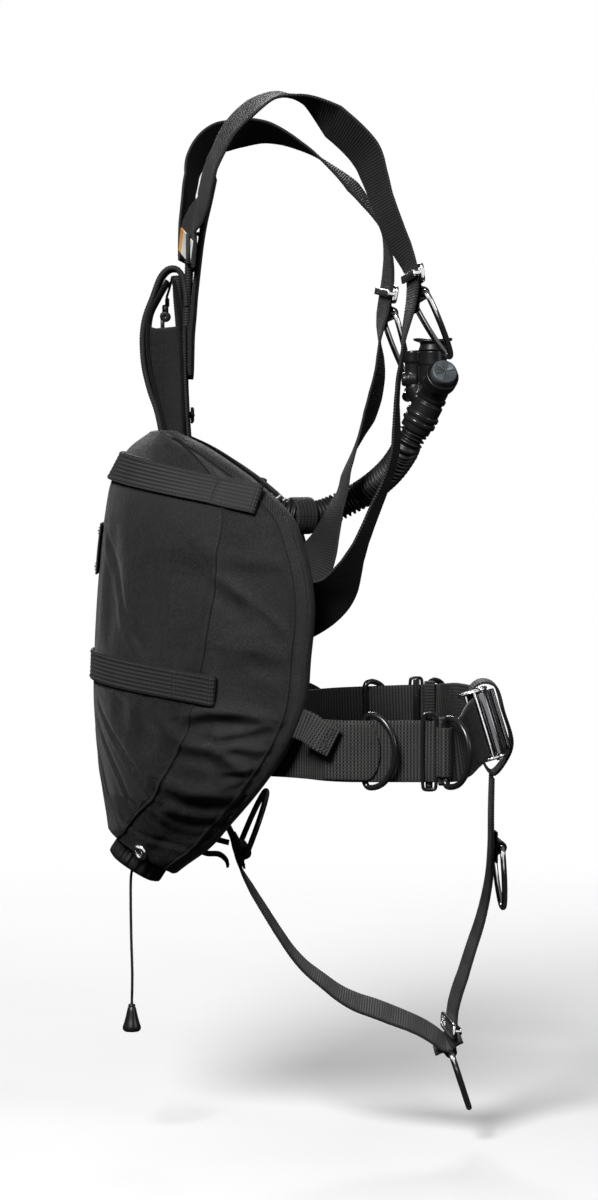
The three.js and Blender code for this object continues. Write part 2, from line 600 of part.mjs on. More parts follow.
/** One shoulder strap with its adjuster and the ring it holds; returns the strap's stations. */
function chestSide(side, rows, neckwards, at) {
  const stations = leaningStrap(rows, neckwards);
  const hold = holdOn(stations, at.hold, X);
  const strap = sweep(stations, slab(WEB, WEB_T));
  add(`shoulder_strap_${side}`, WEBBING, withKeeper(strap, hold, square(at.bar, at.hang), 38));
  add(`chest_ring_${side}`, STEEL, ring(CHEST_RING), frame(hold, at.hang, at.bar));
  const { p, a, n } = nearest(stations, at.slider);
  const out = n.clone().multiplyScalar(Math.sign(n.x));
  add(`chest_slider_${side}`, STEEL, slider(15), frame(p, a.clone().cross(out), a));
  return stations;
}

/** A direction made square to another. */
function square(direction, to) {
  const along = to.clone().normalize();
  return direction.clone().addScaledVector(along, -direction.dot(along)).normalize();
}

// ---------------------------------------------------------------- trim pocket behind the neck

function trimPocket() {
  const left = [
    [-45.4, 258.6], [-53.6, 289], [-58.6, 314], [-60.2, 338], [-58.4, 357], [-51, 371], [-43.5, 386],
  ];
  const right = [[-39.5, 386], [-37.6, 371], [-34.6, 345], [-33.8, 324], [-32.6, 294], [-31.8, 258.6]];
  const outline = new THREE.Shape([...left, ...right].map(([x, z]) => new THREE.Vector2(x, z)));
  const cut = (points) => new THREE.Shape(points.map(([x, z]) => new THREE.Vector2(x, z)));
  const extruded = (shape, width) =>
    moved(
      solid(new THREE.ExtrudeGeometry(shape, { depth: width, bevelEnabled: false })),
      new THREE.Matrix4().makeBasis(X, Z, V(0, -1, 0)).setPosition(0, width / 2, 0),
    );
  const WIDE = 44;
  const mouth = [
    [-57.2, 338], [-55.6, 356], [-49, 367], [-42.6, 378], [-40.8, 370], [-37.2, 345], [-36.6, 338],
  ];
  const pouch = [
    [-43, 262], [-51, 290], [-55.8, 314], [-57.2, 339], [-36.6, 339], [-36.2, 324], [-35, 294],
    [-34.4, 262],
  ];
  const made = extruded(outline, WIDE)
    .subtract(extruded(cut(mouth), WIDE + 10))
    .subtract(extruded(cut(pouch), WIDE - 5));
  add("trim_pocket", FABRIC, made);

  const arc = [
    V(-29.6, 0, 362), V(-30.4, 0, 374), V(-32.6, 0, 386), V(-37.5, 0, 393.4), V(-44, 0, 393.8),
    V(-50.6, 0, 388),
    V(-58.2, 0, 369.5), V(-64.2, 0, 353.4), V(-66.4, 0, 340.8), V(-66.6, 0, 326.5), V(-65.1, 0, 310.7),
    V(-60.6, 0, 291.7), V(-54.7, 0, 274.3), V(-51, 0, 260),
  ];
  add("trim_strap", WEBBING, sweep(along(arc, () => Y, 2 * arc.length), slab(46, PAD_T)));
  const lock = rod(V(-48, -8, 354), V(-48, 8, 354), 4.4, 4.4, 12).add(box(-48, 0, 359.5, 6, 12, 8));
  add("trim_buckle", PLASTIC, lock);
}

// ---------------------------------------------------------------- waist

const FRONT_LEAN = V(-0.29, 0.06, 0.955);
const RING_BAR_Y = 159.4;
const BELT_Y = 152; // straight side runs
const SIDE_RING_X = { right: 118, left: 124 };
const SIDE_RING_Y = 147.4; // inside the belt
const ADJUSTER_X = 172;
const FRONT_RING_X = 182;
const BUCKLE_AT = V(218.9, -58, 13.4);
const BUCKLE_ALONG = V(0.22, 0.975, 0).normalize();

// Half of the waist belt from the spine forward: forward, sideways, height on the right, on the left.
const BELT_PLAN = [
  [-7, 8, 0, 0], [-7, 50, 0, 0], [-2, 72, 0, 0], [18, 93, 0, 0], [38, 105, 0, 1], [58, 116, 0, 1],
  [72, 127, 0, 2], [86, 142, 0, 2.5], [103, 150.6, 0, 3], [118, BELT_Y, 0, 3.5], [142, BELT_Y, 0, 4.4],
  [166, BELT_Y, 0, 5.2], [185, BELT_Y, 0, 5.6], [193, 149.6, 0.6, 6.2], [199.4, 140, 3, 7.5],
  [206, 118, 7.5, 9.8],
  [211, 98, 10.5, 11.5],
];

function beltPath(side) {
  const run = BELT_PLAN.map(([x, y, right, left]) => V(x, side * y, side < 0 ? right : left));
  if (side < 0) run.push(V(218.9, -58, 13.4), V(227, -20, 13.6), V(230.4, 2, 13.6), V(231.6, 22, 13.6));
  else run.push(V(219, 58, 13.4), V(225.4, 24, 13.6), V(224.6, -6, 13.6), V(219, -34, 13.4),
  V(213.6, -52, 13.2));
  return run;
}

function waist() {
  const lumbar = new THREE.Shape();
  lumbar.moveTo(-58, -30).lineTo(-46, -44).lineTo(46, -44).lineTo(58, -30);
  lumbar.lineTo(58, 30).lineTo(46, 44).lineTo(-46, 44).lineTo(-58, 30);
  const plate = solid(new THREE.ExtrudeGeometry(lumbar, { depth: PLATE_T, bevelEnabled: false }));
  add("lumbar_plate", FABRIC, plate, frame(V(0, 0, 0), V(-1, 0, 0), Y));
  for (const [name, side] of [["right", -1], ["left", 1]]) belt(name, side);
  buckle();
}

function belt(name, side) {
  const path = beltPath(side);
  const lean = (_, share) => Z.clone().lerp(FRONT_LEAN, THREE.MathUtils.smoothstep(share, 0.6, 0.82));
  const stations = along(path, lean, 2 * (path.length - 1));
  const web = sweep(stations, slab(WEB, WEB_T));
  const rise = (x) => (side < 0 ? 0 : THREE.MathUtils.mapLinear(x, 103, 190, 3, 6));
  const ringX = SIDE_RING_X[name];
  const sideRun = stations.filter(({ p }) => p.x < 190 && p.y * side > 60);
  const doubled = [-30, -18, -4, 10.5].map((ahead) => {
    const gap = ({ p }) => Math.abs(p.x - ringX - ahead);
    const { p } = sideRun.reduce((best, station) => (gap(station) < gap(best) ? station : best));
    return V(ringX + ahead, p.y + side * 2.2, p.z);
  });
  const layer = webbing(doubled, Z, Z, WEB - 3, 6);
  add(`waist_belt_${name}`, WEBBING, web.add(layer));
  const barAt = V(ringX, side * SIDE_RING_Y, rise(ringX));
  add(`side_ring_${name}`, BLACK_STEEL, ring(SIDE_RING), frame(barAt, V(0.84, side * 0.545, 0), Z));

  const slideAt = V(ADJUSTER_X - 2, side * BELT_Y, rise(ADJUSTER_X));
  const forward = V(1, 0, 0);
  const sliderFrame = new THREE.Matrix4().makeBasis(V(0, 0, side < 0 ? 1 : -1), V(0, side, 0), forward);
  add(`front_slider_${name}`, BLACK_STEEL, slider(13, 2.8), sliderFrame.clone().setPosition(slideAt));

  const hold = V(FRONT_RING_X, side * RING_BAR_Y, rise(FRONT_RING_X));
  const loopAt = V(FRONT_RING_X, side * BELT_Y, hold.z);
  const loop = box(loopAt.x, loopAt.y, loopAt.z, 9, 8.4, WEB + 6).subtract(
    box(loopAt.x, loopAt.y, loopAt.z, 12, WEB_T + 4 * GAP, WEB + 2),
  );
  add(`front_keeper_${name}`, WEBBING, withKeeper(loop, hold, Z, 42));
  add(`front_ring_${name}`, BLACK_STEEL, ring(D_RING), frame(hold, V(0.66, side * 0.75, 0), Z));
}

function buckle() {
  const lean = FRONT_LEAN.clone().addScaledVector(BUCKLE_ALONG, -FRONT_LEAN.dot(BUCKLE_ALONG)).normalize();
  const out = BUCKLE_ALONG.clone().cross(lean);
  const place = new THREE.Matrix4().makeBasis(BUCKLE_ALONG, lean, out).setPosition(BUCKLE_AT);
  const EAR = 28.6;
  const PIN = V(-11.5, 0, 7.6);
  const TALL = 2 * EAR + 3;
  let made = box(-17.5, 0, 3.4, 4, TALL, 2.6).add(box(17.5, 0, 3.4, 4, TALL, 2.6));
  made = made.add(box(-15, 0, -4.8, 4, TALL, 2.6)).add(box(13, 0, -9.6, 4, TALL, 2.6));
  for (const s of [-1, 1])
    made = made.add(box(0, s * EAR, -1, 39, 3, 19.6)).add(box(PIN.x, s * EAR, 9, 10, 3, 7));
  const pinHole = rod(V(PIN.x, -40, PIN.z), V(PIN.x, 40, PIN.z), 2.3, 2.3, 12);
  add("buckle_frame", STEEL, made.subtract(pinHole), place);

  const half = EAR - 2;
  const barrel = rod(V(PIN.x, -half, PIN.z), V(PIN.x, half, PIN.z), 4.4);
  const blade = box(3.5, 0, 9, 27, 2 * half, 2.4).add(box(15.5, 0, 9.8, 5, 2 * half, 4));
  add("buckle_lever", DARK_STEEL, barrel.add(blade).subtract(pinHole), place);
  add("buckle_pin", STEEL, rod(V(PIN.x, -EAR - 2.4, PIN.z), V(PIN.x, EAR + 2.4, PIN.z), 2, 2, 12), place);
}

// ---------------------------------------------------------------- crotch strap

function crotch() {
  const rows = [
    [-16, 0, 14, 0], [-15, 0, -24, 0], [-7, 0, -54, -4], [3, 0, -76, -8], [9.5, 0, -90, -8],
    [11.9, 0, -100, -8],
    [14.8, 0, -114, -3], [24.6, 0, -132.7, 3], [35.8, 0, -151, 5], [47.1, 0, -169, 5], [59.7, 0, -187.5, 5],
    [71, 0, -200, 6], [85, 0, -211.3, 7], [99, 0, -222, 8], [113, 0, -229.6, 9], [130, 0, -235.6, 9],
    [144, 0, -241, 9], [158, 0, -246.5, 8], [170, 0, -252, 8], [180.6, 0, -258.6, 8], [187.2, 0, -263.6, 8],
    [191.8, 0, -264.6, 8], [194.9, 0, -260, 8], [195.4, 0, -250, 8], [196.6, 0, -235.2, 8],
    [200, 0, -221.2, 8],
    [204.8, 0, -207, 8], [209, 0, -193, 8], [213.4, 0, -179, 7], [218, 0, -165, 6], [221.8, 0, -151, 5],
    [224.8, 0, -137, 5], [227.4, 0, -120, 5], [228.6, 0, -95, 5], [228.6, 0, -66, 3], [229.2, 0, -36, 0],
  ];
  const stations = leaningStrap(rows, 1);
  const held = [
    { name: "crotch_ring_upper", near: V(228.6, 0, -95), side: X, hang: V(0.085, 0, -0.996), finish: STEEL },
    { name: "crotch_ring_lower", near: V(191.8, 0, -264.6), side: DOWN, hang: V(0.31, 0, -0.95), finish: STEEL },
    { name: "butt_ring", near: V(11.9, 0, -100), side: X, hang: V(0.37, 0, 0.93), finish: BLACK_STEEL },
  ];
  let strap = sweep(stations, slab(WEB, WEB_T));
  for (const { name, near, side, hang, finish } of held) {
    const hold = holdOn(stations, near, side);
    const { a } = nearest(stations, near);
    strap = withKeeper(strap, hold, square(a, hang), 40);
    add(name, finish, ring(LONG_RING), frame(hold, hang, a));
  }
  add("crotch_strap", WEBBING, strap);
  const { p, a, n } = nearest(stations, V(195.8, 0, -245));
  add("crotch_slider", STEEL, slider(13, 2.6), frame(p, a.clone().cross(n), a));

  const loop = [
    V(229.4, 0, -33), V(241, 0, -20), V(245.6, 0, -6), V(238.6, 0, 20), V(231, 0, 42), V(220, 0, 45),
    V(211.4, 0, 38),
    V(215.6, 0, 16), V(219.6, 0, -6), V(220.4, 0, -20),
  ];
  const around = along(loop, () => Y, 2 * loop.length, true);
  add("crotch_loop", WEBBING, sweep(around, slab(42, WEB_T * 0.8), true));

  const tie = webbing([V(-32, 0, -88), V(-12, 0, -89), V(4.6, 0, -93)], Y, Y, BAND_LOWER);
  const tail = webbing([V(-32, 0, -88), V(-26, 0, -97), V(-14, 0, -102), V(3, 0, -108)], Y, Y, BAND_LOWER);
  add("wing_lower_tie", WEBBING, tie.add(tail));
}

wing();
wingFittings();
dumpValve();
hose();
inflator();
shoulderHarness();
trimPocket();
waist();
crotch();

export default root;
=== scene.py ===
# Looks of a sidemount diving harness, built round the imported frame.
# Shapes are worked out in millimetres and turned into metres as each piece is made.

import json
import math
from collections import namedtuple

import bpy
import numpy as np
from mathutils import Matrix, Vector

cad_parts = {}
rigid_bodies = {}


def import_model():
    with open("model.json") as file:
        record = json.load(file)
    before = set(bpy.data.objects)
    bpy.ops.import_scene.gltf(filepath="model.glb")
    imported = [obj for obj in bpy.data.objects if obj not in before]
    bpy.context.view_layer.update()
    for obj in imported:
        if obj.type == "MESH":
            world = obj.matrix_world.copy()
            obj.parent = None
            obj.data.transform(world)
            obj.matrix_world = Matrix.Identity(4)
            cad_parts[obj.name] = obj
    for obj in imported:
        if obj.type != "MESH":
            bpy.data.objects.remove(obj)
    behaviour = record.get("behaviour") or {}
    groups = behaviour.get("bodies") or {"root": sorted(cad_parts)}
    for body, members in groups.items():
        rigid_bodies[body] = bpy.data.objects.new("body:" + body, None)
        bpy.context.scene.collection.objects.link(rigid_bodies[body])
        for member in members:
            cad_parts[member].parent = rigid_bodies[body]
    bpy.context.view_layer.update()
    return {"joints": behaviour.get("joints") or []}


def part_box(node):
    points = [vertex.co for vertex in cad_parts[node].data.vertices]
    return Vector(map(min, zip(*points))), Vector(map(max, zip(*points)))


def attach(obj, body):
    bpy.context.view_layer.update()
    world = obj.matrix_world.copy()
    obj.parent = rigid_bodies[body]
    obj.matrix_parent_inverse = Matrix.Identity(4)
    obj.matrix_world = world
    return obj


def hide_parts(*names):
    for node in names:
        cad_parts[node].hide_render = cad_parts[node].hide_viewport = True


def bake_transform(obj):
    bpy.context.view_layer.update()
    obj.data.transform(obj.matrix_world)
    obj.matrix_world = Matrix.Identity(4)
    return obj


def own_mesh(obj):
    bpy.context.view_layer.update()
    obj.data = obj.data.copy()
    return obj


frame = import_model()

MM = 0.001
RANDOM = np.random.default_rng(11)
X, Y, Z = np.eye(3)
JOINTS = {joint["name"]: joint for joint in frame["joints"]}

WEB = 50.0  # strap webbing width
WEB_T = 2.4
WIRE_R = 2.5
FOLD_R = 4.4  # webbing fold's middle line, round a ring's bar
HOLD_OUT = 5.7  # a ring bar's height off its strap's middle

Path = namedtuple("Path", "p a n s")  # middle, width direction, face normal, length so far


# ------------------------------------------------------------------ vectors and curves


def unit(v):
    v = np.asarray(v, float)
    return v / np.maximum(np.linalg.norm(v, axis=-1, keepdims=True), 1e-12)


def dot(a, b):
    return np.sum(a * b, axis=-1, keepdims=True)


def catmull_rom(points, share, closed=False):
    """Points of a centripetal Catmull-Rom curve at shares of its way, 0 to 1."""
    pts = np.asarray(points, float)
    n = len(pts)
    if closed:
        pts = np.vstack([pts[-1], pts, pts[:2]])
        place = np.clip(share, 0, 1) * n
        i = np.minimum(place.astype(int), n - 1)
    else:
        pts = np.vstack([2 * pts[0] - pts[1], pts, 2 * pts[-1] - pts[-2]])
        place = np.clip(share, 0, 1) * (n - 1)
        i = np.minimum(place.astype(int), n - 2)
    t = (place - i)[:, None]
    x0, x1, x2, x3 = (pts[i + k] for k in range(4))
    d0, d1, d2 = (np.maximum(np.linalg.norm(b - a, axis=1) ** 0.5, 1e-4)[:, None]
                  for a, b in ((x0, x1), (x1, x2), (x2, x3)))
    t1 = d1 * ((x1 - x0) / d0 - (x2 - x0) / (d0 + d1) + (x2 - x1) / d1)
    t2 = d1 * ((x2 - x1) / d1 - (x3 - x1) / (d1 + d2) + (x3 - x2) / d2)
    return x1 + t1 * t + (3 * (x2 - x1) - 2 * t1 - t2) * t**2 + (2 * (x1 - x2) + t1 + t2) * t**3


def hermite(xs, ys, x):
    """Smooth curve through ys given at xs; ys may have several columns."""
    xs, ys = np.asarray(xs, float), np.asarray(ys, float)
    slope = np.gradient(ys, xs, axis=0)
    i = np.clip(np.searchsorted(xs, x, side="right") - 1, 0, len(xs) - 2)
    h = xs[i + 1] - xs[i]
    t = np.clip((x - xs[i]) / h, 0, 1)
    if ys.ndim > 1:
        h, t = h[:, None], t[:, None]
    low, high = 2 * t**3 - 3 * t**2 + 1, -2 * t**3 + 3 * t**2
    return (low * ys[i] + high * ys[i + 1]
            + h * ((t**3 - 2 * t**2 + t) * slope[i] + (t**3 - t**2) * slope[i + 1]))


def path(points, across, step=2.0, closed=False):
    """Evenly spaced frames along a smooth path; across is a direction or across(share, tangent)."""
    share = np.linspace(0, 1, 40 * len(points) + 1)
    p = catmull_rom(points, share, closed)
    length = np.concatenate([[0], np.cumsum(np.linalg.norm(np.diff(p, axis=0), axis=1))])
    count = max(4, int(round(length[-1] / step)))
    s = np.linspace(0, length[-1], count + 1)[: count if closed else count + 1]
    even = np.interp(s, length, share)
    p = catmull_rom(points, even, closed)
    small = 0.3 / length[-1]
    wrap = (lambda x: x % 1.0) if closed else (lambda x: np.clip(x, 0, 1))
    after, before = (catmull_rom(points, wrap(even + way), closed) for way in (small, -small))
    t = unit(after - before)
    wanted = across(even, t) if callable(across) else np.broadcast_to(np.asarray(across, float), p.shape)
    a = unit(wanted - t * dot(wanted, t))
    return Path(p, a, np.cross(t, a), s)


def in_plane(points, y=0.0):
    """Points given by their x and z, in the middle plane or beside it."""
    return [(x, y, z) for x, z in points]


def turn_about(origin, axis, side):
    """4x4 matrix of a local frame: Z along axis, X as near as possible to side."""
    z = unit(axis)
    x = unit(np.asarray(side, float) - z * np.dot(side, z))
    m = np.eye(4)
    m[:3, 0], m[:3, 1], m[:3, 2], m[:3, 3] = x, np.cross(z, x), z, origin
    return m


def placed(vertices, matrix):
    return np.asarray(vertices) @ matrix[:3, :3].T + matrix[:3, 3]


def hinge_of(joint):
    """A joint's place in millimetres, and its axis."""
    return np.array(JOINTS[joint]["pos_m"]) / MM, unit(JOINTS[joint]["axis"])


# ------------------------------------------------------------------ meshes


def grid_faces(rows, cols, close_rows=False, capped=False):
    """Quads of a grid of vertices closed along its columns; capped fills its first and last rows."""
    i = np.arange(rows if close_rows else rows - 1)
    i, j = (v.ravel() for v in np.meshgrid(i, np.arange(cols), indexing="ij"))
    i2, j2 = (i + 1) % rows, (j + 1) % cols
    faces = np.stack([i * cols + j, i * cols + j2, i2 * cols + j2, i2 * cols + j], axis=1).tolist()
    if capped:
        faces += [list(range(cols))[::-1], [(rows - 1) * cols + k for k in range(cols)]]
    return faces


class Shape:
    """Vertices in millimetres, faces, and optional weave coordinates, gathered from several parts."""

    def __init__(self):
        self.v, self.f, self.uv, self.count = [], [], [], 0

    def add(self, vertices, faces, uv=None):
        vertices = np.asarray(vertices, float).reshape(-1, 3)
        self.v.append(vertices)
        self.f += [[k + self.count for k in face] for face in faces]
        self.uv.append(np.zeros((len(vertices), 2)) if uv is None else uv)
        self.count += len(vertices)
        return self

    def at(self, matrix):
        return Shape().join(self, matrix)

    def join(self, other, matrix=None):
        for v, uv in zip(other.v, other.uv):
            self.v.append(placed(v, matrix) if matrix is not None else v)
            self.uv.append(uv)
        self.f += [[k + self.count for k in face] for face in other.f]
        self.count += other.count
        return self


def piece(name, shape, material, stands_for=(), body="harness"):
    """Makes one finished object of a shape, riding on a body, in its material."""
    mesh = bpy.data.meshes.new(name)
    mesh.from_pydata((np.vstack(shape.v) * MM).tolist(), [], shape.f)
    mesh.materials.append(material)
    uv = np.vstack(shape.uv)
    loops = np.zeros(len(mesh.loops), int)
    mesh.loops.foreach_get("vertex_index", loops)
    mesh.uv_layers.new(name="weave").data.foreach_set("uv", uv[loops].ravel())
    mesh.polygons.foreach_set("use_smooth", [True] * len(mesh.polygons))
    mesh.update()
    obj = bpy.data.objects.new(name, mesh)
    bpy.context.scene.collection.objects.link(obj)
    if body:
        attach(obj, body)
    if stands_for:
        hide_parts(*stands_for)
    return obj


def sweep(run, section, closed=False):
    """Shape of a section [[across, out], ...] carried along a path; the section may differ by station."""
    section = np.asarray(section, float)
    rows, cols = len(run.p), section.shape[-2]
    across, out = section[..., 0], section[..., 1]
    if section.ndim == 2:
        across, out = (np.broadcast_to(v, (rows, cols)) for v in (across, out))
    v = run.p[:, None] + run.a[:, None] * across[..., None] + run.n[:, None] * out[..., None]
    faces = [face[::-1] for face in grid_faces(rows, cols, close_rows=closed, capped=not closed)]
    uv = np.stack([across, np.broadcast_to(run.s[:, None], (rows, cols))], axis=-1).reshape(-1, 2)
    return Shape().add(v, faces, uv * MM)


def round_section(radius, sides=16):
    turn = np.arange(sides) * 2 * math.pi / sides
    return np.stack([radius * np.cos(turn), radius * np.sin(turn)], axis=1)


def slab_section(width, thick):
    """Flat section with rounded edges, and how far each point faces out (+1), in (-1) or sideways (0)."""
    r = thick / 2
    flat = np.linspace(-width / 2 + r, width / 2 - r, 15)
    edge = np.radians([-60, -20, 20, 60])
    right = np.stack([width / 2 - r + r * np.cos(edge), thick / 2 * np.sin(edge)], axis=1)
    low = np.stack([flat, np.full_like(flat, -thick / 2)], axis=1)
    high = np.stack([flat[::-1], np.full_like(flat, thick / 2)], axis=1)
    left = right[::-1] * [-1, 1]
    section = np.vstack([low, right, high, left])
    facing = np.concatenate([-np.ones(len(low)), np.zeros(4), np.ones(len(high)), np.zeros(4)])
    return section, facing


def webbing(run, width=WEB, thick=WEB_T, rib=2.2, depth=0.22, groove=0.0, closed=False, rounded=0.0):
    """Woven strap along a path, with a rib across it for each weft thread and grooves along it."""
    section, facing = slab_section(width, thick)
    sections = np.repeat(section[None], len(run.p), axis=0)
    wave = depth * np.cos(2 * math.pi * run.s / rib)
    sections[..., 1] += wave[:, None] * np.abs(facing)
    if groove:
        sections[..., 1] += facing * 0.18 * np.cos(2 * math.pi * section[:, 0] / groove)
    if rounded:  # one rounded end, as a heat-cut tongue has
        left = run.s[-1] - run.s
        half = width / 2
        share = np.sqrt(np.clip(1 - np.clip(1 - left / rounded, 0, 1) ** 2, 0.02, 1))
        sections[..., 0] *= share[:, None] * (half - 0.01) / half
    return sweep(run, sections, closed)


def lathe(profile, sides=48, ridges=0, ridge=0.0, ridged=()):
    """Turned shape about local Z from closed [radius, height] points; ridged names points with flutes."""
    profile = np.asarray(profile, float)
    turn = np.arange(sides) * 2 * math.pi / sides
    r = np.repeat(profile[:, 0][:, None], sides, axis=1)
    for k in ridged:
        r[k] += ridge * np.clip(2.2 * np.cos(ridges * turn), -1, 1)
    height = np.repeat(profile[:, 1][:, None], sides, axis=1)
    v = np.stack([r * np.cos(turn), r * np.sin(turn), height], axis=-1)
    return Shape().add(v, [f[::-1] for f in grid_faces(len(profile), sides, close_rows=True)])


def softened(profile, radius=0.6):
    """A profile with each corner cut by an arc of three points."""
    pts = np.asarray(profile, float)
    result = []
    for k, here in enumerate(pts):
        before, after = pts[k - 1] - here, pts[(k + 1) % len(pts)] - here
        room = min(np.linalg.norm(before), np.linalg.norm(after)) * 0.45
        cut = min(radius, room)
        if cut < 1e-6:
            result.append(here)
            continue
        a, b = here + unit(before) * cut, here + unit(after) * cut
        result += [a, (a + b) / 4 + here / 2, b]
    return np.array(result)


def off_axis(way):
    """A direction that isn't along a way."""
    return Y if abs(unit(way)[1]) < 0.9 else X


def tube(points, radius, sides=12, step=1.0, side=None):
    """Round wire or cord along a smooth path."""
    side = off_axis(np.asarray(points[-1], float) - points[0]) if side is None else side
    return sweep(path(points, side, step), round_section(radius, sides))


def turned(profile, edge, sides):
    """Turned solid with softened edges."""
    return lathe(softened(profile, edge), sides)


def rod(a, b, r, edge=0.5):
    """Turned bar between two points, with softened edges."""
    a, b = np.asarray(a, float), np.asarray(b, float)
    length = np.linalg.norm(b - a)
    shape = turned([[0.01, 0], [r, 0], [r, length], [0.01, length]], edge, 40)
    return shape.at(turn_about(a, b - a, off_axis(b - a)))


def block(centre, size, edge=0.6):
    """Box with chamfered edges."""
    half = np.asarray(size, float) / 2
    edge = min(edge, 0.45 * min(size))
    corners = np.array([[x, y] for x, y in ((-1, -1), (1, -1), (1, 1), (-1, 1))], float)
    outline = softened(corners * half[:2], edge)
    levels = [(-half[2], 1), (-half[2] + edge, 0), (half[2] - edge, 0), (half[2], 1)]
    rows = []
    for z, drawn in levels:
        share = (half[:2] - drawn * edge) / half[:2]
        rows.append(np.column_stack([outline * share, np.full(len(outline), z)]))
    faces = grid_faces(len(rows), len(outline), capped=True)
    return Shape().add(np.vstack(rows) + np.asarray(centre, float), faces)


def threads(ends, radius=0.42):
    """Sewing stitches: a short rounded bead of thread for each pair of end points."""
    shape = Shape()
    rings = ((0.0, 0.35), (0.2, 0.95), (0.5, 1.15), (0.8, 0.95), (1.0, 0.35))
    for a, b in ends:
        along = b - a
        m = turn_about(a, along, Z if abs(unit(along)[2]) < 0.9 else X)
        length = np.linalg.norm(along)
        rows = [np.column_stack([round_section(radius * k, 6), np.full(6, t * length)]) for t, k in rings]
        shape.add(placed(np.vstack(rows), m), grid_faces(len(rings), 6, capped=True))
    return shape


def stitch_line(points, pitch=4.0, length=2.9):
    """End points of the stitches along a line of closely spaced points."""
    points = np.asarray(points, float)
    far = np.concatenate([[0], np.cumsum(np.linalg.norm(np.diff(points, axis=0), axis=1))])
    at = lambda s: np.array([np.interp(s, far, points[:, k]) for k in range(3)])
    starts = np.arange(pitch * 0.4, far[-1] - length, pitch)
    return [(at(s), at(s + length)) for s in starts]


def spring_wire(radius, start, rise, turns=3):
    """Round wire coiled about local Z."""
    around = np.linspace(0, turns, 90)
    turn = 2 * math.pi * around
    wire = np.column_stack([radius * np.cos(turn), radius * np.sin(turn), start + rise * around / turns])
    return tube(wire, 0.7, 8, 1.2)


def fused(obj, voxel=0.5, smooth=3):
    """Melts an object's overlapping shells into one moulded skin."""
    skin = obj.modifiers.new("skin", "REMESH")
    skin.mode, skin.voxel_size, skin.use_smooth_shade = "VOXEL", voxel * MM, True
    ease = obj.modifiers.new("ease", "SMOOTH")
    ease.iterations, ease.factor = smooth, 0.5


# ------------------------------------------------------------------ materials


class Graph:
    """A node material, with short calls for the nodes used here."""

    def __init__(self, name):
        self.material = bpy.data.materials.new(name)
        self.material.use_nodes = True
        self.tree = self.material.node_tree
        self.shader = self.tree.nodes["Principled BSDF"]

    def node(self, kind, inputs=(), **settings):
        made = self.tree.nodes.new(kind)
        for key, value in settings.items():
            setattr(made, key, value)
        for key, value in dict(inputs).items():
            self.put(made.inputs[key], value)
        return made

    def put(self, socket, value):
        if isinstance(value, bpy.types.NodeSocket):
            self.tree.links.new(value, socket)
        else:
            socket.default_value = value

    def maths(self, operation, a, b=0.0, c=0.0):
        return self.node("ShaderNodeMath", {0: a, 1: b, 2: c}, operation=operation).outputs[0]

    def noise(self, scale, detail=2.0, rough=0.5, vector=None):
        inputs = {"Scale": scale, "Detail": detail, "Roughness": rough}
        inputs["Vector"] = vector or self.node("ShaderNodeTexCoord").outputs["Object"]
        return self.node("ShaderNodeTexNoise", inputs).outputs["Fac"]

    def range(self, value, low, high, to_low, to_high):
        inputs = {"Value": value, "From Min": low, "From Max": high, "To Min": to_low, "To Max": to_high}
        return self.node("ShaderNodeMapRange", inputs).outputs["Result"]

    def mix(self, share, a, b):
        made = self.node("ShaderNodeMix", data_type="RGBA")
        for key, value in (("Factor", share), ("A", a), ("B", b)):
            socket = next(s for s in made.inputs if s.name == key and s.enabled)
            self.put(socket, value)
        return next(s for s in made.outputs if s.enabled)

    def bump(self, height, distance, strength=1.0, normal=None):
        inputs = {"Height": height, "Distance": distance, "Strength": strength}
        if normal is not None:
            inputs["Normal"] = normal
        return self.node("ShaderNodeBump", inputs).outputs[0]

    def finish(self, **inputs):
        for key, value in inputs.items():
            self.put(self.shader.inputs[key.replace("_", " ")], value)
        return self.material


def grey(value, warm=0.0):
    return (value * (1 + warm), value, value * (1 - warm), 1.0)


def weave_waves(g, across, along):
    """Sine waves across and along a strap, from its weave coordinates in metres."""
    uv = g.node("ShaderNodeUVMap", uv_map="weave").outputs[0]
    split = g.node("ShaderNodeSeparateXYZ", {0: uv})
    wave = lambda kind, socket, pitch: g.maths(
        kind, g.maths("MULTIPLY", socket, 2 * math.pi / (pitch * MM)))
    return wave("SINE", split.outputs[0], across), wave("COSINE", split.outputs[1], along), split


def webbing_material(name, across, along, light=0.021, dark=0.003, rough=0.62, lines=0.0):
    g = Graph(name)
    u, v, _ = weave_waves(g, across, along)
    cell = g.maths("MULTIPLY", u, v)
    height = g.maths("ADD", g.maths("MULTIPLY", cell, 0.45), g.maths("MULTIPLY", v, 0.5 - 0.3 * lines))
    height = g.maths("ADD", height, g.maths("MULTIPLY", u, lines))
    fuzz = g.noise(2600, 3)
    worn = g.noise(22, 4, 0.6)
    # Colour follows the relief: painted shade in the grooves between the ribs and, with lines, in the
    # grooves along the strap; worn adds random wear.
    tone = g.range(height, -0.7, 0.7, 0.0, 1.0)
    tone = g.maths("MULTIPLY", tone, g.range(worn, 0.3, 0.7, 0.7, 1.1))
    colour = g.mix(tone, grey(dark), grey(light, 0.02))
    relief = g.maths("ADD", height, g.maths("MULTIPLY", fuzz, 0.2))
    return g.finish(
        Base_Color=colour, Roughness=g.range(fuzz, 0.3, 0.7, rough - 0.08, rough + 0.12),
        Normal=g.bump(relief, 0.0003, 0.8), Specular_IOR_Level=0.25, Sheen_Weight=0.06,
        Sheen_Roughness=0.4, Sheen_Tint=grey(0.8),
    )


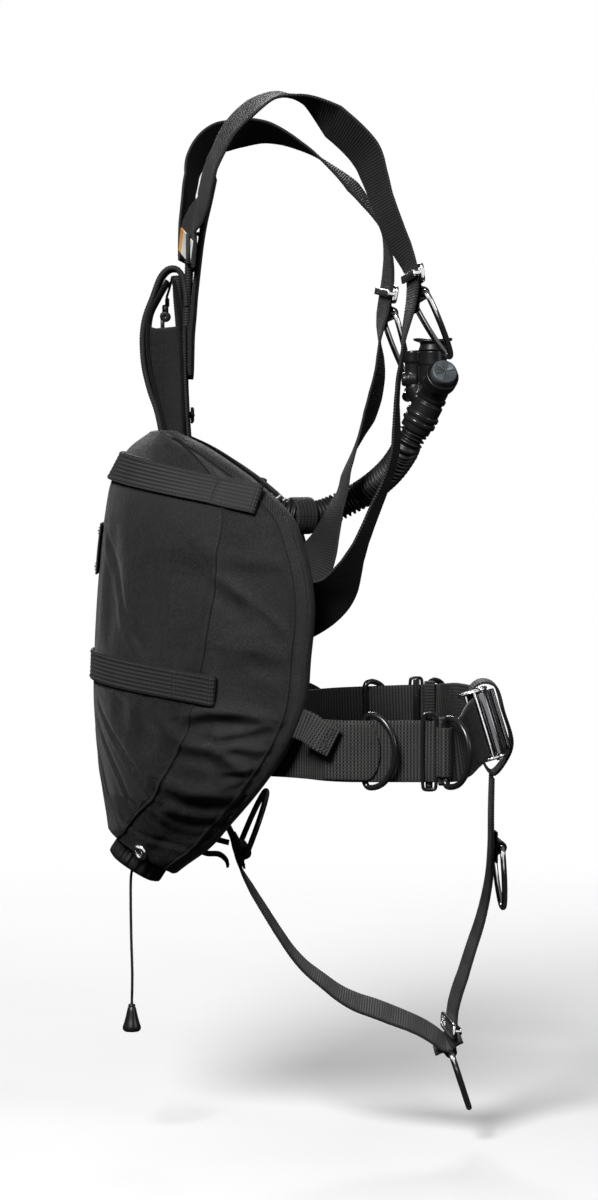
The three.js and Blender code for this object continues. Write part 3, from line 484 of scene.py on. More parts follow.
def fabric_material(name, light=0.031, dark=0.0005):
    """Tightly woven coated nylon: a fine twill, faint slubs, and a dull sheen."""
    g = Graph(name)
    uv = g.node("ShaderNodeUVMap", uv_map="weave").outputs[0]
    split = g.node("ShaderNodeSeparateXYZ", {0: uv})
    diagonal = g.maths("ADD", split.outputs[0], split.outputs[1])
    twill = g.maths("SINE", g.maths("MULTIPLY", diagonal, 2 * math.pi / 0.0021))
    thread = g.maths("SINE", g.maths("MULTIPLY", split.outputs[0], 2 * math.pi / 0.0011))
    slub = g.noise(640, 2)
    cloud = g.noise(13, 4, 0.6)
    # Colour follows the twill relief, darker in its valleys: painted shade; slubs and cloud add random
    # tone.
    tone = g.maths("ADD", g.range(twill, -1, 1, 0.0, 0.95), g.range(slub, 0.3, 0.7, -0.5, 0.5))
    tone = g.maths("MULTIPLY", tone, g.range(cloud, 0.3, 0.7, 0.6, 1.15))
    height = g.maths("ADD", g.maths("ADD", twill, g.maths("MULTIPLY", thread, 0.5)), slub)
    creases = g.bump(g.noise(48, 4, 0.6), 0.0034, 0.55)
    return g.finish(
        Base_Color=g.mix(tone, grey(dark), grey(light)), Roughness=g.range(slub, 0.3, 0.7, 0.56, 0.72),
        Normal=g.bump(height, 0.00022, 0.8, creases), Specular_IOR_Level=0.35, Sheen_Weight=0.14,
        Sheen_Roughness=0.35, Sheen_Tint=grey(0.9),
    )


def moulded_material(name, colour, rough=0.36, grain=900, wear=0.25):
    """Moulded plastic or rubber: faint grain, and rubbed, lighter edges."""
    g = Graph(name)
    grain_noise = g.noise(grain, 3)
    smear = g.noise(35, 4, 0.6)
    point = g.node("ShaderNodeNewGeometry").outputs["Pointiness"]
    rubbed = g.maths("MULTIPLY", g.range(point, 0.52, 0.62, 0.0, wear),
                     g.range(smear, 0.35, 0.65, 0.2, 1.0))
    lighter = tuple(min(1.0, c * 3 + 0.03) for c in colour[:3]) + (1.0,)
    return g.finish(
        Base_Color=g.mix(rubbed, colour, lighter),
        Roughness=g.range(smear, 0.3, 0.7, rough - 0.07, rough + 0.1),
        Normal=g.bump(grain_noise, 0.00012, 0.35), Specular_IOR_Level=0.45,
    )


def steel_material(name, colour, rough=0.13, metallic=1.0, coat=0.0):
    """Polished or coated wire: fine drawing lines, handling marks, and a soft smear in the gloss."""
    g = Graph(name)
    lines = g.noise(420, 5, 0.7)
    smear = g.noise(40, 4, 0.6)
    marks = g.range(g.noise(160, 6, 0.75), 0.62, 0.7, 0.0, 0.18)
    darker = tuple(c * 0.72 for c in colour[:3]) + (1.0,)
    roughness = g.maths("ADD", g.range(smear, 0.3, 0.7, rough * 0.7, rough * 1.5), marks)
    return g.finish(
        Base_Color=g.mix(g.range(smear, 0.3, 0.7, 0.0, 0.6), colour, darker), Metallic=metallic,
        Roughness=roughness, Normal=g.bump(lines, 0.00001, 0.2), Coat_Weight=coat, Coat_Roughness=0.12,
    )


def label_material(name, stripe_from, stripe_to, pale, strong):
    """Plain woven patch, with one plain coloured edge across its weave coordinates."""
    g = Graph(name)
    u, v, split = weave_waves(g, 0.9, 0.9)
    inside = g.maths("MULTIPLY", g.maths("GREATER_THAN", split.outputs[0], stripe_from),
                     g.maths("LESS_THAN", split.outputs[0], stripe_to))
    dirt = g.range(g.noise(60, 4, 0.6), 0.35, 0.7, 1.0, 0.86)
    tone = g.mix(inside, pale, strong)
    grime = g.node("ShaderNodeHueSaturation", {"Color": tone, "Value": dirt}).outputs[0]
    return g.finish(Base_Color=grime, Roughness=0.7, Normal=g.bump(g.maths("MULTIPLY", u, v), 0.0001, 0.6))


STRAP = webbing_material("strap_webbing", 1.7, 2.2, light=0.034, dark=0.0015)
BELT = webbing_material("belt_webbing", 2.9, 2.7, light=0.066, dark=0.0006)
# lines darkens the band's grooves along its length: painted shade.
BAND = webbing_material("band_webbing", 3.3, 1.5, light=0.052, dark=0.0015, lines=0.42)
FABRIC = fabric_material("wing_nylon")
POUCH = fabric_material("pouch_nylon", light=0.012, dark=0.0004)
BINDING = webbing_material("edge_binding", 1.2, 1.0, light=0.014, dark=0.004)
# Near-black for the painted shadow lines laid in the wing's seams.
SEAM_SHADOW = moulded_material("seam_shadow", grey(0.0012), 0.8, 1800, 0.0)
THREAD = moulded_material("sewing_thread", grey(0.012), 0.55, 2600, 0.4)
PLASTIC = moulded_material("black_acetal", grey(0.010), 0.3)
RUBBER = moulded_material("black_rubber", grey(0.009), 0.42, 1400, 0.15)
BUTTON = moulded_material("grey_button", (0.085, 0.1, 0.108, 1.0), 0.4, 1000, 0.5)
CORD = webbing_material("braided_cord", 0.8, 1.1, light=0.02)
STEEL = steel_material("polished_stainless", (0.62, 0.62, 0.63, 1.0))
BLACK_STEEL = steel_material("black_coated_steel", grey(0.012), 0.24, 0.0, 0.5)
DARK_CHROME = steel_material("dark_chrome", (0.16, 0.16, 0.17, 1.0), 0.14)
LABEL = label_material("label_weave", 0.011, 0.021, (0.78, 0.78, 0.76, 1.0), (0.8, 0.36, 0.05, 1.0))
SLOTS = {
    material.name: slot for slot, materials in {
        "webbing": (STRAP, BELT, BAND, BINDING, THREAD, SEAM_SHADOW), "wing_fabric": (FABRIC, POUCH),
        "black_plastic": (PLASTIC,), "black_rubber": (RUBBER,), "grey_plastic": (BUTTON,), "cord": (CORD,),
        "polished_steel": (STEEL,), "black_steel": (BLACK_STEEL,), "dark_chrome": (DARK_CHROME,),
        "label": (LABEL,),
    }.items() for material in materials
}


# ------------------------------------------------------------------ wing

# Wing outline by height: height, rear face, front edge, half width, wearer side, lip thickness.
WING_ROWS = np.array([
    [-116, -64, -45, 28, -56, 18],
    [-108, -83, -37, 45, -50, 18],
    [-92, -94, -18, 66, -40, 17],
    [-66, -99, 3, 96, -31, 17],
    [-34, -104, 27.5, 126, -25, 18],
    [0, -107.5, 49.5, 142, -22, 20],
    [32, -109.5, 63, 149, -22, 20],
    [75, -108.5, 68, 154, -24, 20],
    [120, -106, 71, 155, -26, 20],
    [160, -102.5, 64, 151, -28, 20],
    [190, -99, 52, 141, -30, 20],
    [215, -94, 26, 122, -32, 19],
    [233, -86, 1, 98, -36, 17],
    [246, -76, -20, 76, -42, 16],
    [256, -62, -41, 50, -50, 14],
], float)
# The side seam's place round the wing, in degrees from the back, by height.
SIDE_SEAM = np.array([
    [-116, 20], [-86, 24], [-80, 34], [-46, 52], [-21, 56], [10, 60], [43, 61], [74, 63], [107, 64],
    [160, 67], [192, 71.5], [218, 77], [256, 80],
], float)
EDGE_SEAM_IN = 9.0  # the front seam's distance behind the wing's front edge

# Folds in the fabric of one side: width, depth, then [degrees from the back, height] points.
FOLDS = [
    (5.0, 4.6, [(59, 26), (66, 31), (74, 30), (82, 25)]),
    (4.0, 2.6, [(70, 11), (78, 15), (85, 20)]),
    (4.0, 3.0, [(72, 1), (78, 2), (84, -1)]),
    (4.6, 4.2, [(60, 3), (70, -1), (76, -9), (84, -17)]),
    (4.0, 2.4, [(76, -19), (83, -17)]),
    (6.0, 5.0, [(56, -30), (66, -36), (76, -37), (85, -39)]),
    (4.0, 2.2, [(78, -29), (86, -26)]),
    (5.5, 4.0, [(60, -52), (68, -57), (76, -59), (86, -57)]),
    (3.4, 1.8, [(50, -52), (60, -64), (68, -72), (78, -75), (88, -70)]),
    (6.0, 2.4, [(66, 141), (70, 133), (76, 117)]),
    (9.0, 1.6, [(54, 160), (62, 160), (68, 158)]),
    (8.0, 2.2, [(70, 82), (76, 82), (83, 80)]),
    (9.0, 1.8, [(40, 30), (50, 20), (58, 4)]),
]
# Raised pleats, as folds.
PLEATS = [
    (2.6, 1.5, [(16, 30), (26, 9), (34, -7), (44, -27), (52, -41)]),
    (2.4, 1.5, [(12, 18), (24, -9), (32, -29), (38, -47), (44, -59)]),
    (2.4, 1.4, [(6, 2), (14, -23), (19, -47), (28, -65), (36, -72)]),
    (2.2, 1.2, [(1, -8), (9, -33), (13, -53), (22, -70)]),
    (4.0, 1.5, [(14, 178), (20, 160), (26, 141), (32, 111), (38, 89), (43, 78)]),
    (2.0, 1.6, [(38, -69), (46, -77), (58, -83), (70, -88), (84, -90)]),
]
UPPER_BAND = (26, 229, 204, 86)  # width, height at the back, height at its ends, degrees to its ends
LOWER_BAND = (25, 61, 48, 66)
KEEPER_SPAN = (137, 180)
PER_DEGREE = 2.7  # millimetres of fabric to a degree round the wing
ROW_STEP = 4.6
COLUMNS = (3, 21, 26)  # between front edge, front seam, side seam and back
REFINED = 3  # times finer than the simulated grid
NOSE_COLUMNS = 6
CLOTH_FRAMES = 18
MOST_MOVE = 8.0  # furthest the cloth may leave its rest shape
HOLLOW_COLUMNS = 28
VALVE_AXIS = unit([-0.54, 0, -0.84])
VALVE_SEAT = np.array([-67.4, 0, -100.0])


def wing_angles(z):
    """Degrees of each outer column, from the right front edge round the back to the left, by row."""
    rear, edge = hermite(WING_ROWS[:, 0], WING_ROWS[:, 1:3], z).T
    side = np.interp(z, SIDE_SEAM[:, 0], SIDE_SEAM[:, 1])
    front = np.degrees(np.arccos(np.clip(EDGE_SEAM_IN / (edge - rear), 0, 1)))
    marks = [np.full_like(z, 90), front, side, np.zeros_like(z)]
    half = [np.linspace(marks[k], marks[k + 1], COLUMNS[k], endpoint=False) for k in range(3)]
    half = np.vstack(half)
    return np.vstack([-half, np.zeros((1, len(z))), half[::-1]]).T


def wing_rest():
    """Rows x columns x 3 points of the wing before any fabric work, its angles, and its heights."""
    z = np.linspace(WING_ROWS[0, 0], WING_ROWS[-1, 0], int(np.ptp(WING_ROWS[:, 0]) / ROW_STEP) + 1)
    _, rear, edge, half, inner, lip = np.column_stack([z, hermite(WING_ROWS[:, 0], WING_ROWS[:, 1:], z)]).T
    angles = wing_angles(z)
    t = np.radians(angles)
    column = lambda v: v[:, None]
    x = column(edge) - column(edge - rear) * np.cos(t)
    y = column(half) * np.sin(t)
    nose = np.linspace(0, math.pi, NOSE_COLUMNS + 1)[1:]
    nose_x = column(edge) + 7 * np.sin(nose)
    nose_y = column(half - lip / 2) + column(lip / 2) * np.cos(nose)
    hollow = np.radians(np.linspace(90, -90, HOLLOW_COLUMNS + 1)[1:-1])
    hollow_x = column(edge) - column(edge - inner) * np.cos(hollow)
    hollow_y = column(half - lip) * np.sin(hollow)
    x = np.hstack([x, nose_x, hollow_x, nose_x[:, ::-1]])
    y = np.hstack([y, nose_y, hollow_y, -nose_y[:, ::-1]])
    return np.stack([x, y, np.repeat(column(z), x.shape[1], axis=1)], axis=-1), angles, z


def grid_normals(p):
    """Outward normals of a grid of points, closed along its columns."""
    across = np.roll(p, -1, axis=1) - np.roll(p, 1, axis=1)
    up = np.gradient(p, axis=0)
    return unit(np.cross(across, up))


def pinned_share(angles, z, columns):
    """How firmly each wing vertex is held: seams, bands, edges and the wearer's side stay put."""
    outer = angles.shape[1]
    side = np.interp(z, SIDE_SEAM[:, 0], SIDE_SEAM[:, 1])[:, None]
    hold = np.ones((len(z), columns))
    from_seam = np.abs(np.abs(angles) - side)
    front = angles[:, COLUMNS[0]][:, None]
    from_front = np.abs(np.abs(angles) - np.abs(front))
    held = np.maximum(np.exp(-((from_seam / 1.2) ** 2)), np.exp(-((from_front / 1.0) ** 2)))
    held = np.maximum(held, np.abs(angles) > np.abs(front))
    for width, z_back, z_end, degrees in (UPPER_BAND, LOWER_BAND):
        middle = z_back + (z_end - z_back) * (angles / degrees) ** 2
        under = (np.abs(z[:, None] - middle) < width / 2) & (np.abs(angles) < degrees)
        held = np.maximum(held, under)
    low, high = KEEPER_SPAN
    under = (z[:, None] > low - 4) & (z[:, None] < high + 4) & (np.abs(angles) < 11)
    held = np.maximum(held, under)
    ends = np.minimum(z - z[0], z[-1] - z)[:, None]
    held = np.maximum(held, np.exp(-((ends / 5.0) ** 2)))
    hold[:, :outer] = held
    return hold


def simulated(rest, angles, z):
    """Blows the panels up with the seams held and a little spare cloth, and returns the new points."""
    rows, cols, _ = rest.shape
    mesh = bpy.data.meshes.new("wing_cloth")
    mesh.from_pydata((rest.reshape(-1, 3) * MM).tolist(), [], grid_faces(rows, cols))
    obj = bpy.data.objects.new("wing_cloth", mesh)
    bpy.context.scene.collection.objects.link(obj)
    hold = pinned_share(angles, z, cols).ravel()
    group = obj.vertex_groups.new(name="hold")
    for level in np.unique(np.round(hold, 2)):
        group.add(np.flatnonzero(np.round(hold, 2) == level).tolist(), float(level), "REPLACE")
    obj.shape_key_add(name="Basis")
    spare = obj.shape_key_add(name="spare")
    stretched = rest.copy()
    low = np.exp(-(((z + 20) / 70) ** 2))[:, None]
    outer = angles.shape[1]
    gusset = np.zeros((rows, cols))
    gusset[:, :outer] = np.exp(-(((np.abs(angles) - 74) / 14) ** 2))
    spacing = np.gradient(rest[..., 2], axis=0) * (1.05 + 0.13 * gusset * low)
    stretched[..., 2] = rest[0, :, 2] + np.cumsum(spacing, axis=0) - spacing[0]
    stretched[..., 1] *= 1.03
    stretched[..., 0] *= 1.02
    stretched += RANDOM.normal(0, 0.15, stretched.shape)
    for point, place in zip(spare.data, (stretched.reshape(-1, 3) * MM).tolist()):
        point.co = place
    cloth = obj.modifiers.new("cloth", "CLOTH")
    settings = cloth.settings
    settings.rest_shape_key = spare
    settings.vertex_group_mass = "hold"
    settings.quality, settings.mass = 7, 0.25
    settings.tension_stiffness = settings.compression_stiffness = 14
    settings.shear_stiffness, settings.bending_stiffness = 6, 0.9
    settings.use_pressure, settings.uniform_pressure_force = True, 2.2
    settings.effector_weights.gravity = 0
    cloth.collision_settings.use_collision = False
    cloth.point_cache.frame_start, cloth.point_cache.frame_end = 1, CLOTH_FRAMES
    scene = bpy.context.scene
    for number in range(1, CLOTH_FRAMES + 1):
        scene.frame_set(number)
    shown = obj.evaluated_get(bpy.context.evaluated_depsgraph_get()).to_mesh()
    co = np.zeros(rows * cols * 3)
    shown.vertices.foreach_get("co", co)
    bpy.data.objects.remove(obj)
    scene.frame_set(1)
    move = co.reshape(rest.shape) / MM - rest
    size = np.linalg.norm(move, axis=-1, keepdims=True)
    return rest + move * MOST_MOVE * np.tanh(size / MOST_MOVE) / np.maximum(size, 1e-9)


def refined(grid, factor, closed_cols=True):
    """A grid of values made finer by a smooth cubic through its points."""
    def along(values, axis, closed):
        values = np.moveaxis(values, axis, 0)
        n = len(values)
        place = np.arange(n * factor if closed else (n - 1) * factor + 1) / factor
        i = np.floor(place).astype(int)
        t = (place - i).reshape((-1,) + (1,) * (values.ndim - 1))
        index = lambda k: (i + k) % n if closed else np.clip(i + k, 0, n - 1)
        a, b, c, d = (values[index(k)] for k in (-1, 0, 1, 2))
        cubic = b + 0.5 * t * (c - a + t * (2 * a - 5 * b + 4 * c - d + t * (3 * (b - c) + d - a)))
        return np.moveaxis(cubic, 0, axis)
    return along(along(grid, 0, False), 1, closed_cols)


def crease(angles, heights, width, depth, line):
    """Displacement of a fold along a line: a valley with a softer ridge below it."""
    u, v = np.abs(angles) * PER_DEGREE, heights
    points = np.array(line, float) * [PER_DEGREE, 1]
    best = np.full(u.shape, 1e9)
    signed = np.zeros(u.shape)
    taper = np.zeros(u.shape)
    for k, (a, b) in enumerate(zip(points[:-1], points[1:])):
        d = b - a
        t = np.clip(((u - a[0]) * d[0] + (v - a[1]) * d[1]) / (d @ d), 0, 1)
        du, dv = u - a[0] - t * d[0], v - a[1] - t * d[1]
        far = np.hypot(du, dv)
        near = far < best
        best = np.where(near, far, best)
        side = np.sign(d[0] * dv - d[1] * du)
        signed = np.where(near, far * side, signed)
        taper = np.where(near, (k + t) / (len(points) - 1), taper)
    strength = np.clip(np.sin(math.pi * (0.08 + 0.84 * taper)), 0, 1) ** 0.6
    valley = 1.15 * np.exp(-((signed / width) ** 2))
    ridge = 0.7 * np.exp(-(((signed + 2.0 * width) / (1.2 * width)) ** 2))
    return depth * strength * (ridge - valley)


def wing_surface():
    """Fine grid of the finished wing."""
    rest, angles, z = wing_rest()
    grid = simulated(rest, angles, z)
    fine = refined(grid, REFINED)
    cols = rest.shape[1]
    outer = refined(angles, REFINED, closed_cols=False)
    heights = refined(np.repeat(z[:, None], cols, axis=1), REFINED)
    outer_cols = outer.shape[1]
    a, h = outer, heights[:, :outer_cols]
    out = np.zeros_like(a)
    for sign, shift in ((-1, 0.0), (1, 5.0)):
        here = np.sign(a) == sign
        for width, depth, line in FOLDS:
            moved = [(x, y + shift) for x, y in line]
            out += here * crease(a, h, width, depth, moved)
        for width, depth, line in PLEATS:
            moved = [(x, y + shift) for x, y in line]
            out += here * -0.8 * crease(a, h, width, depth, moved)
    side = np.interp(h, SIDE_SEAM[:, 0], SIDE_SEAM[:, 1])
    front = np.abs(a[:, COLUMNS[0] * REFINED])[:, None]
    for seam, deep in ((side, 0.9), (front, 0.8)):
        gap = (np.abs(a) - seam) * PER_DEGREE
        pucker = 1 + 0.12 * np.sin(h / 1.6 + 2 * np.sin(h / 11))
        out -= deep * pucker * np.exp(-((gap / 1.5) ** 2))
        out += 0.35 * np.exp(-(((np.abs(gap) - 4.5) / 2.2) ** 2)) * (1 + 0.2 * np.sin(h / 1.6 + 1))
    fine[:, :outer_cols] += grid_normals(fine)[:, :outer_cols] * out[..., None]
    beyond = np.clip((fine - VALVE_SEAT) @ VALVE_AXIS + 0.5, 0, None)
    return fine - beyond[..., None] * VALVE_AXIS


def closing_rows(row, rise, steps=5):
    """Rows that round an open end of the wing over to its middle."""
    middle = row.mean(axis=0)
    rows = []
    for k in range(1, steps + 1):
        turn = math.pi / 2 * k / steps
        share = math.cos(turn) * 0.98 + 0.02
        ring = middle + (row - middle) * share
        ring[:, 2] += rise * math.sin(turn)
        rows.append(ring)
    return rows


def wing():
    surface = wing_surface()
    bottom = closing_rows(surface[0], -1.5)[::-1]
    top = closing_rows(surface[-1], 2.5)
    rows = np.array(bottom + list(surface) + top)
    steps = np.linalg.norm(np.diff(surface[len(surface) // 2], axis=0), axis=1)
    girth = np.concatenate([[0], np.cumsum(steps)])
    u = np.repeat(girth[None], len(rows), axis=0)
    uv = np.stack([u, rows[..., 2]], axis=-1).reshape(-1, 2) * MM
    shape = Shape().add(rows, grid_faces(*rows.shape[:2], capped=True), uv)
    piece("wing_bag", shape, FABRIC, ["wing_shell", "inner_bladder"])
    wing_stitches(surface)


def wing_stitches(surface):
    """Painted seam shadow: a near-black line laid along the side and front seams, with thread on both sides
    of each.
    """
    normals = grid_normals(surface)
    rows = slice(8, len(surface) - 6)
    ends = []
    seam_shadow_lines = Shape()
    for place in (COLUMNS[0], COLUMNS[0] + COLUMNS[1]):
        for column in (place * REFINED, (sum(COLUMNS) * 2 - place) * REFINED):
            for shift in (-1, 1):
                line = surface[rows, column + shift] + normals[rows, column + shift] * 0.25
                ends += stitch_line(line, 4.4, 2.8)
            # A thin near-black tube in the seam's groove: painted seam shadow.
            line = surface[3:-3, column] + normals[3:-3, column] * 0.1
            seam_shadow_lines.join(tube(line[::2], 0.8, 8, 1.2))
    piece("wing_seam_thread", threads(ends, 0.34), THREAD)
    piece("wing_seam_cord", seam_shadow_lines, SEAM_SHADOW)


def on_wing(z, degrees, lift):
    """Point of the wing's outer face at a height, degrees round from the back, lifted off it."""
    rear, edge, half = hermite(WING_ROWS[:, 0], WING_ROWS[:, 1:4], z).T
    t = np.radians(degrees)
    return np.stack([edge - (edge - rear + lift) * np.cos(t), (half + lift) * np.sin(t), z], axis=-1)


def band_path(z_back, z_end, degrees, lift, end_lift, step):
    """Path of a band round the back of the wing; its ends stand off the fabric."""
    share = np.linspace(-1, 1, 400)
    rise = lift + (end_lift - lift) * np.clip((np.abs(share) - 0.86) / 0.14, 0, 1) ** 1.5
    height = z_back + (z_end - z_back) * share**2
    p = on_wing(height, share * degrees, rise)
    up = on_wing(height + 7, share * degrees, rise) - on_wing(height - 7, share * degrees, rise)
    far = np.concatenate([[0], np.cumsum(np.linalg.norm(np.diff(p, axis=0), axis=1))])
    s = np.linspace(0, far[-1], int(far[-1] / step) + 1)
    even = lambda v: np.stack([np.interp(s, far, v[:, k]) for k in range(3)], axis=1)
    p, up = even(p), even(up)
    t = unit(np.gradient(p, axis=0))
    a = unit(up - t * dot(up, t))
    return Path(p, a, np.cross(t, a), s)


def wing_band(name, width, z_back, z_end, degrees, lift, end_lift):
    run = band_path(z_back, z_end, degrees, lift, end_lift, 0.75)
    shape = webbing(run, width, 2.2, rib=1.5, depth=0.1, groove=3.3)
    for end, way in ((0, -1), (-1, 1)):  # each end is folded back under itself
        p, a, n = run.p[end], run.a[end], run.n[end]
        t = np.cross(a, n) * way
        inward = -n * np.sign(n @ (p - [-20, 0, p[2]]))
        loop = [p - 1.0 * t, p + 1.5 * t + 0.6 * inward, p + 2.6 * t + 2.4 * inward,
                p + 1.6 * t + 4.2 * inward, p - 3 * t + 5.0 * inward, p - 12 * t + 5.2 * inward]
        shape.join(webbing(path(loop, a, 0.75), width, 2.2, rib=1.5, depth=0.07, groove=3.3))
    piece(name, shape, BAND, [name])
    ends = []
    out = np.sign(dot(run.n, run.p - [-20, 0, 0]))
    face = run.p + run.n * out * 1.35
    for across in (-1, 1):
        edge = face + run.a * across * (width / 2 - 2.2)
        ends += stitch_line(edge, 4.2, 2.8)
    for near in (34, 36.5):
        for k in (int(near / 0.75), -int(near / 0.75)):
            line = [face[k] + run.a[k] * w for w in np.linspace(-width / 2 + 2, width / 2 - 2, 20)]
            ends += stitch_line(line, 2.2, 1.9)
    piece(name + "_thread", threads(ends, 0.4), THREAD)


def wing_fittings():
    wing_band("wing_band_upper", *UPPER_BAND, 2.4, 7.5)
    wing_band("wing_band_lower", *LOWER_BAND, 1.9, 5.0)
    low, high = KEEPER_SPAN
    keeper = in_plane([(-101.6, high), (-104.2, 158), (-106.0, low)])
    shape = webbing(path(keeper, Y, 0.75), 50, 1.5, rib=1.5, depth=0.07, groove=3.3)
    piece("rear_keeper_web", shape, BAND, ["rear_keeper"])
    box_stitches("rear_keeper", path(keeper, Y, 1.0), 50, [(4, 9), (-9, -4)], -1)
    for side, s in (("right", -1), ("left", 1)):
        run = [(64.5, s * 150.5, 22.5), (73, s * 152, 19), (83, s * 157.4, 12.5), (93, s * 158.6, 7.5)]
        tie = path(run, (0.42, 0, 0.9), 0.75)
        piece(f"wing_tie_{side}_web", webbing(tie, 25, 2.3, rib=2.2, depth=0.14), BELT,
              [f"wing_tie_{side}"])
        box_stitches(f"wing_tie_{side}", tie, 25, [(-9, -2.5)], -s)
        eyelet(side, s)


def box_stitches(name, run, width, spans, face=1):
    """Boxes of stitching on a strap's face, each between two lengths; minus counts from its end."""
    ends = []
    length = run.s[-1]
    height = face * (WEB_T / 2 + 0.12)
    for start, stop in spans:
        start, stop = (v + length if v < 0 else v for v in (start, stop))
        if stop < start:
            start, stop = stop, start
        index = [int(np.clip(round(v / (run.s[1] - run.s[0])), 0, len(run.p) - 1)) for v in (start, stop)]
        half = width / 2 - 2.6
        rows = range(index[0], index[1] + 1)
        at = lambda k, w: run.p[k] + run.a[k] * w + run.n[k] * height
        for k in index:
            ends += stitch_line([at(k, w) for w in np.linspace(-half, half, 24)], 3.0, 2.3)
        for w in (-half, half):
            ends += stitch_line([at(k, w) for k in rows], 3.0, 2.3) if len(rows) > 3 else []
        cross = np.linspace(0, 1, 24)
        for way in (1, -1):
            ends += stitch_line([at(index[0] + int(c * (index[1] - index[0])), way * half * (2 * c - 1))
                                 for c in cross], 3.0, 2.3) if len(rows) > 8 else []
    piece(name + "_thread", threads(ends), THREAD)


def eyelet(side, s):
    centre = on_wing(np.array([-95.0]), np.array([s * 50.0]), 2.4)[0]
    out = unit(centre - [-30, 0, -70])
    ring = turned([[3, -1.4], [7.2, -1.0], [7.2, -0.2], [6.2, 0.9], [4.6, 1.5], [3.3, 0.9], [3, 0]], 0.3,
                  48)
    piece(f"eyelet_{side}_ring", ring.at(turn_about(centre, out, Y)), STEEL, [f"eyelet_{side}"])
    hole = lathe([[0.01, -0.6], [3.1, -0.6], [3.1, 0.1], [0.01, 0.1]], 32)
    piece(f"eyelet_{side}_gauze", hole.at(turn_about(centre, out, Y)), RUBBER)


# ------------------------------------------------------------------ dump valve


def dump_valve():
    place = turn_about(VALVE_SEAT, VALVE_AXIS, Y)
    seat = turned([[9, -6], [14.8, -6], [14.8, 0.1], [23.4, 0.1], [23.6, 1.0], [22.6, 2], [9, 2]], 0.35, 72)
    piece("valve_flange", seat.at(place), PLASTIC, ["valve_seat"])
    profile = [
        [21, 2.4], [23.6, 2.4], [24.4, 3.2], [24.6, 4.2], [24.6, 6], [24.6, 8], [24.6, 10], [24.6, 12.6],
        [24.2, 14.6], [23.0, 16.0], [20.5, 17.2], [16, 17.6], [14.5, 17.0], [11, 17.0], [9.5, 17.6],
        [4.4, 17.6],
        [3.4, 17.2], [2.8, 16.4], [2.6, 14], [21, 14],
    ]
    cap = lathe(profile, 360, ridges=18, ridge=0.85, ridged=range(2, 9))
    piece("valve_cap_moulding", cap.at(place), PLASTIC, ["valve_cap"])
    holes = Shape()
    for k in range(8):
        turn = 2 * math.pi * (k + 0.5) / 8
        centre = [12.75 * math.cos(turn), 12.75 * math.sin(turn), 16.95]
        rim = turned([[1.2, 0], [1.9, 0], [1.9, 0.35], [1.2, 0.35]], 0.15, 20)
        holes.join(rim, place @ turn_about(centre, Z, X))
    piece("valve_cap_vents", holes, PLASTIC)
    plunger = turned([[0.01, 2.4], [17, 2.4], [17, 4.2], [1.9, 5], [1.9, 15], [0.01, 15]], 0.4, 48)
    piece("valve_plunger_disc", plunger.at(place), RUBBER, ["valve_plunger"], body="dump_plunger")
    spring = piece("valve_spring_wire", spring_wire(8, 6.6, 5.9).at(place), STEEL, ["valve_spring"])
    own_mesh(spring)
    cord_and_knob()


def cord_and_knob():
    low, high = (np.array(corner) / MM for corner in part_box("pull_knob"))
    knob_top = np.array([(low[0] + high[0]) / 2, 0, high[2]])
    cord_top = np.array(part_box("pull_cord")[1]) / MM
    top = VALVE_SEAT + VALVE_AXIS * 18.2
    line = [top, [cord_top[0] - 1.6, 0, cord_top[2] - 6], [knob_top[0] - 0.4, 0.3, knob_top[2] + 62],
            [knob_top[0] + 0.5, -0.2, knob_top[2] + 24], knob_top - [0, 0, 2]]
    cord = webbing(path(line, Y, 0.6), 2.4, 2.3, rib=1.2, depth=0.08)
    piece("pull_cord_braid", cord, CORD, ["pull_cord"], body="dump_cord")
    profile = [
        [0.01, 0], [2.0, 0], [2.8, -0.5], [3.1, -1.6], [2.9, -2.6], [3.5, -3.2], [4.1, -6], [5.2, -11],
        [6.6, -16.2],
        [7.6, -19.0], [7.9, -20.6], [7.5, -22.4], [6.2, -23.6], [3.0, -24.1], [0.01, -24.1],
    ]
    knob = lathe(profile[::-1], 48)
    piece("pull_knob_moulding", knob.at(turn_about(knob_top, Z, X)), PLASTIC, ["pull_knob"],
          body="dump_cord")


# ------------------------------------------------------------------ hose and inflator

HOSE_JOINT = hinge_of("hose_flex")[0]
BARREL_UP = unit([0.45, -0.2, 0.87])
BUTTON_AXIS = -unit(JOINTS["deflate_press"]["axis"])
NIPPLE_WAY = np.array([-0.25, 0.9, -0.35])
HOSE_PORT = np.array([0.0, 97, 190])
HOSE_R = 12.6
HOSE_PITCH = 4.3  # between two ridges
HOSE_KEEPER_AT = np.array([66, 104.8, 182.8])


def from_joint(x, y, z):
    return HOSE_JOINT + [x, y, z]


